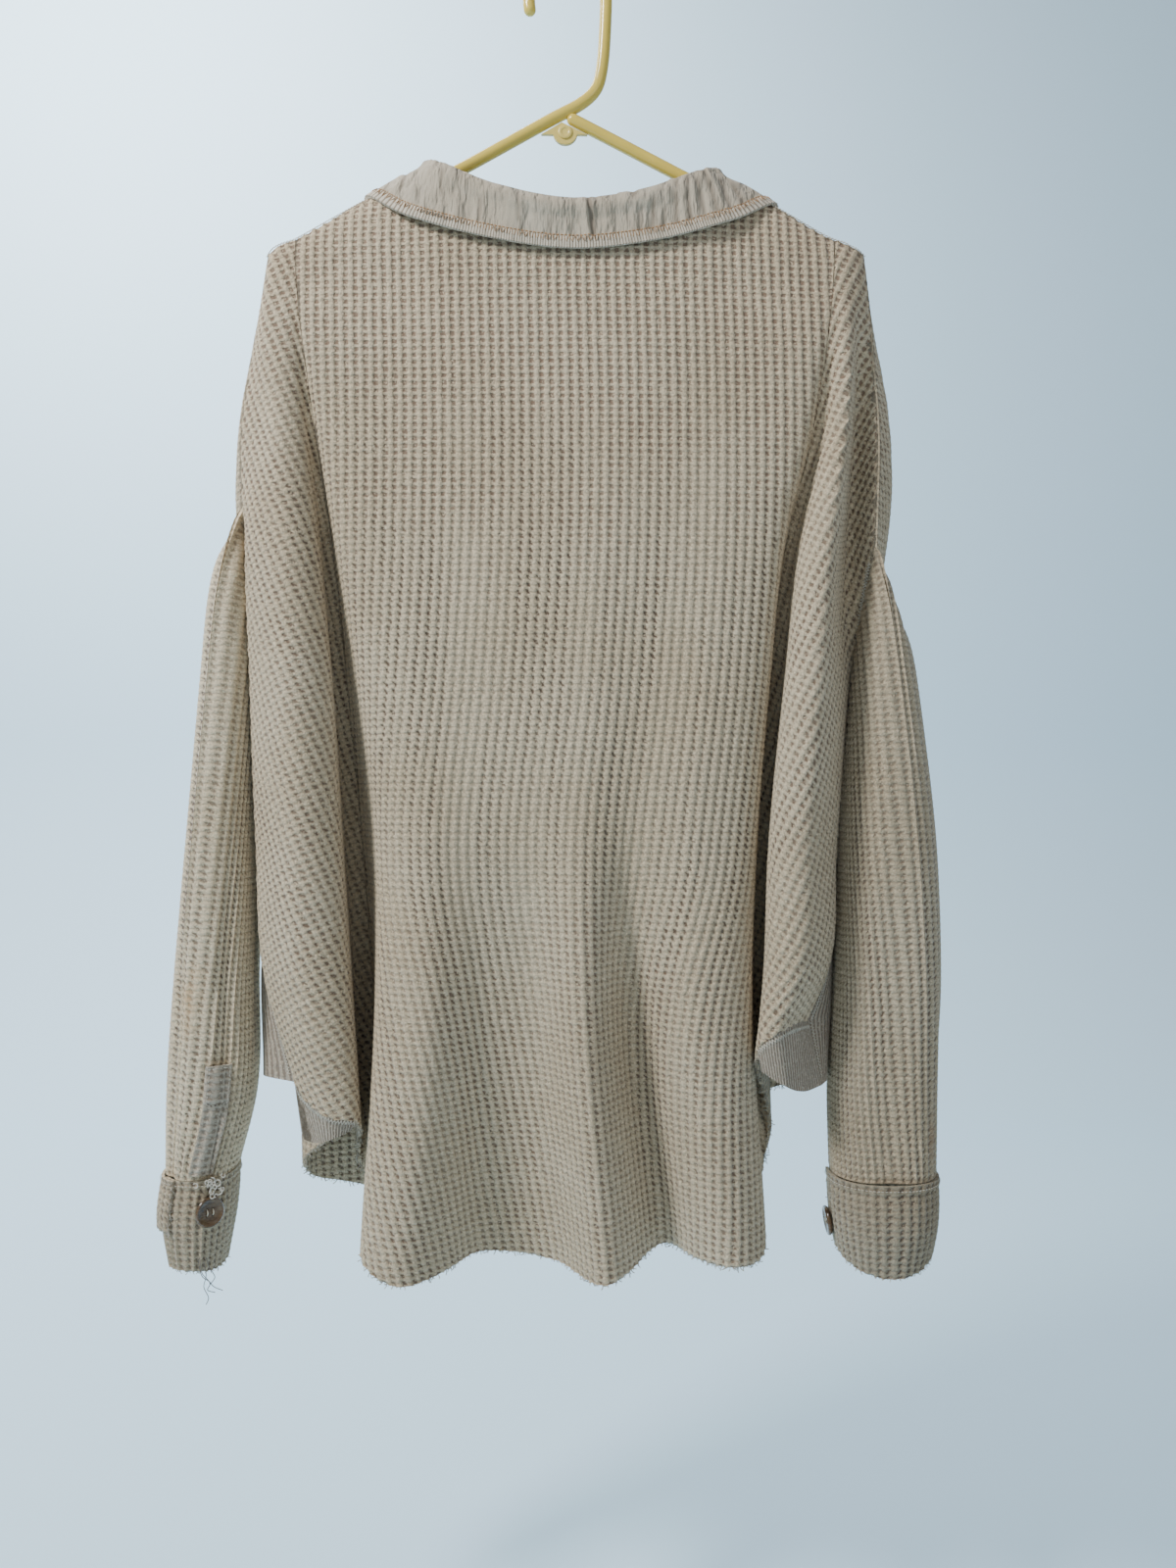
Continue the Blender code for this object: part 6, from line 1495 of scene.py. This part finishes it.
# ---- The hanger ----------------------------------------------------------------------------------
# A tubular hanger of yellow plastic: the hook, stem and left arm in one tube, the right arm, the bar, and a
# thin moulded web with a round boss under the join.

# The hanger's paths in the plane y = 0, x and z, and the hook's angles from the viewer's right
HOOK_RADIUS, HOOK_CENTRE = 27.3, -23.0
HOOK_FROM, HOOK_TO = 1.08 * pi, -0.02 * pi
STEM = ((26.5, -45), (24.5, -70), (20.5, -86), (9, -96.5))
ARM_LEFT = ((-5.5, -104), (-40, -123), (-74.5, -142), (-141, -176), (-184, -198), (-197, -204.5))
ARM_RIGHT = ((3.9, -107.3), (40, -126), (80, -147), (146, -180.5), (178, -196.5), (191, -203))
BAR = ((-197.5, -204.75, 0), (-202.27, -207.13, 5), (-202.27, -222, 7), (196.37, -222, 7),
       (196.37, -205.69, 5), (191.6, -203.3, 0))     # its corners, with their radii
WEB_TOP = ((-18.6, -118.0), (-4.0, -109.4), (14.2, -118.4))
BOSS_CENTRE, BOSS_RADIUS, WEB_THICKNESS = (-1.5, -116.5), 8.7, 3.0
BOSS_FROM, BOSS_TO = 0.13 * pi, -1.13 * pi
TUBE_RADIUS, RING_STEP = 4.3, 2.5


def smooth_path(points, spacing):
    """A smooth path through points, with up to three steps to each stretch."""
    table = np.array(points, float)
    lengths = run_along(table)
    at = [lengths[0]]
    for a, b in zip(lengths[:-1], lengths[1:]):
        count = max(1, min(3, int(round((b - a) / spacing))))
        at += list(np.linspace(a, b, count + 1)[1:])
    return [tuple(p) for p in hermite(lengths, table, at)]


def rounded(corners, steps=4):
    """A path of straight runs between corners, each turned with an arc of its own radius."""
    points = np.array(corners, float)
    path = [tuple(points[0, :2])]
    for before, (x, z, radius), after in zip(points, points[1:], points[2:]):
        corner = np.array((x, z))
        back, ahead = unit(before[:2] - corner), unit(after[:2] - corner)
        half = acos(np.dot(back, ahead)) / 2
        centre = corner + unit(back + ahead) * radius / sin(half)
        first, last = (unit(corner + way * radius / tan(half) - centre) for way in (back, ahead))
        sweep = acos(np.dot(first, last))
        for share in np.linspace(0, 1, steps + 1):
            turned = (first * sin((1 - share) * sweep) + last * sin(share * sweep)) / sin(sweep)
            path.append(tuple(centre + turned * radius))
    return path + [tuple(points[-1, :2])]


def tube(name, path):
    """A round tube along a path in the plane y = 0, with rounded ends."""
    line = np.array([(x, 0.0, z) for x, z in path])
    line = evenly(line, int(run_along(line)[-1] / RING_STEP))
    for _ in range(4):
        line[1:-1] = (line[:-2] + 2 * line[1:-1] + line[2:]) / 4
    along = unit(np.gradient(line, axis=0))
    head, tail = [], []
    for angle in np.linspace(0, pi / 2, 6)[:-1]:
        head.append((line[0] - along[0] * TUBE_RADIUS * cos(angle), along[0], TUBE_RADIUS * sin(angle)))
        tail.append((line[-1] + along[-1] * TUBE_RADIUS * cos(angle), along[-1], TUBE_RADIUS * sin(angle)))
    rings = head + [(p, a, TUBE_RADIUS) for p, a in zip(line, along)] + tail[::-1]
    verts, sides = [], 24
    for place, way, radius in rings:
        flat = np.cross(way, (0.0, 1.0, 0.0))
        radius = max(radius, 0.02)
        verts += [place + radius * (flat * cos(t) + np.array((0, 1, 0)) * sin(t))
                  for t in np.arange(sides) * 2 * pi / sides]
    mesh = mesh_of(name + "_plastic", verts, ring_faces(len(rings), sides), [plastic])
    return add_piece(name + "_plastic", mesh, name)


def plastic_material(name, colour, see_through, roughness):
    """Moulded polypropylene: glossy, slightly milky, with faint scuffs."""
    shader = Shader(name)
    place = shader.coordinates("Object")
    milky = shader.noise(place, 30, 3.0)
    scuffs = shader.noise(shader.coordinates("Object", (60, 400, 60)), 1.0, 5.0, 0.65, 0.5, 0.8)
    mottled = shader.mix(milky, toned(colour, 0.93), colour)
    rough = shader.plus(shader.times(scuffs, 0.18), roughness)
    shader.principled.inputs["Subsurface Weight"].default_value = see_through
    shader.principled.inputs["Subsurface Radius"].default_value = (0.004, 0.003, 0.0015)
    done = shader.finish(mottled, rough, shader.bump(scuffs, 0.0002, 0.12))
    shader.principled.inputs["Specular IOR Level"].default_value = 0.6
    return done


plastic = plastic_material("yellow plastic", (0.80, 0.60, 0.11), 0.10, 0.18)
web_plastic = plastic_material("milky plastic", (0.80, 0.63, 0.17), 0.06, 0.28)
hook = [(HOOK_RADIUS * cos(a), HOOK_CENTRE + HOOK_RADIUS * sin(a))
        for a in np.linspace(HOOK_FROM, HOOK_TO, 60)]
tube("hanger_hook", hook + smooth_path(STEM + ARM_LEFT, 4))
tube("hanger_arm", smooth_path(ARM_RIGHT, 10))
tube("hanger_bar", rounded(BAR, 8))

turns = np.linspace(BOSS_FROM, BOSS_TO, 40)
low = [(BOSS_CENTRE[0] + BOSS_RADIUS * cos(a), BOSS_CENTRE[1] + BOSS_RADIUS * sin(a)) for a in turns]
outline = list(WEB_TOP) + [(x, z) for x, z in low if z < WEB_TOP[0][1]]
count = len(outline)
web_half = WEB_THICKNESS / 2
web_points = [(x, y, z) for y in (-web_half, web_half) for x, z in outline]
web_faces = [list(range(count - 1, -1, -1)), list(range(count, 2 * count))]
web_faces += [[k, (k + 1) % count, count + (k + 1) % count, count + k] for k in range(count)]
BOSS_PROFILE = ((0, -2.6), (4.2, -2.6), (5.0, -2.2), (5.0, 2.2), (4.2, 2.6), (2.8, 2.6), (2.4, 2.2), (0, 2.0))
boss, boss_faces = turned(BOSS_PROFILE, 32)
web_faces += [[v + len(web_points) for v in face] for face in boss_faces]
web_points += [(x + BOSS_CENTRE[0], -z, y + BOSS_CENTRE[1]) for x, y, z in boss]
web_mesh = mesh_of("hanger_web_plastic", web_points, web_faces, [web_plastic], sharp=0.6)
web = add_piece("hanger_web_plastic", web_mesh, "hanger_web")
soften = web.modifiers.new("soft edges", "BEVEL")
soften.width, soften.segments, soften.limit_method = 0.0004, 2, "ANGLE"

# ---- The light, the floor and the camera ---------------------------------------------------------
# A pale backdrop that curves from the floor up into the wall, a soft light from the upper left, a weak one
# from the right, one on the backdrop, and the camera level with the middle of the back, 0.9 m away. All in
# metres.
CAMERA_PLACE = (0.0145, -0.900, -0.5748)
VIEW_HEIGHT = 1.104                      # seen at the hanger's plane
FLOOR, WALL, CURVE, TOP = -1.25, 2.4, 0.8, 1.6       # the curve's radius is the third
profile = [(-3.0, FLOOR)] + [(WALL - CURVE + CURVE * sin(a), FLOOR + CURVE - CURVE * cos(a))
                             for a in np.linspace(0, pi / 2, 25)] + [(WALL, TOP)]
sweep_mesh = bpy.data.meshes.new("backdrop")
sweep_mesh.from_pydata([(x, y, z) for y, z in profile for x in (-4.5, 4.5)], [],
                       [(2 * k, 2 * k + 1, 2 * k + 3, 2 * k + 2) for k in range(len(profile) - 1)])
pale = Shader("pale paper")
sweep_mesh.materials.append(pale.finish((0.60, 0.80, 0.93), 0.95))
sweep_mesh.shade_smooth()
placed("backdrop", sweep_mesh)

world = bpy.data.worlds.new("studio")
bpy.context.scene.world = world
world.use_nodes = True
world.node_tree.nodes["Background"].inputs["Color"].default_value = (0.92, 0.95, 1.0, 1)
world.node_tree.nodes["Background"].inputs["Strength"].default_value = 0.38
# Name, place, what it points at, width and watts
LIGHTS = (
    ("key", (-1.3, -1.0, 0.85), (0, 0, -0.5), 0.4, 46.0),
    ("fill", (1.0, -1.8, 0.2), (0, 0, -0.4), 1.0, 3.0),
    ("backdrop", (-1.3, 1.0, 1.5), (-0.8, 2.4, 0.1), 1.6, 110.0),
)
for name, place, aim, size, power in LIGHTS:
    light = bpy.data.lights.new(name, "AREA")
    light.size, light.energy = size, power
    lamp = placed(name, light)
    lamp.location = place
    lamp.rotation_euler = (Vector(aim) - Vector(place)).to_track_quat("-Z", "Y").to_euler()

camera = placed("camera", bpy.data.cameras.new("camera"))
camera.location = CAMERA_PLACE
camera.rotation_euler = (pi / 2, 0, 0)
camera.data.sensor_fit = "VERTICAL"
camera.data.angle = 2 * np.arctan(VIEW_HEIGHT / 2 / abs(CAMERA_PLACE[1]))
camera.data.clip_start = 0.01
bpy.context.scene.camera = camera
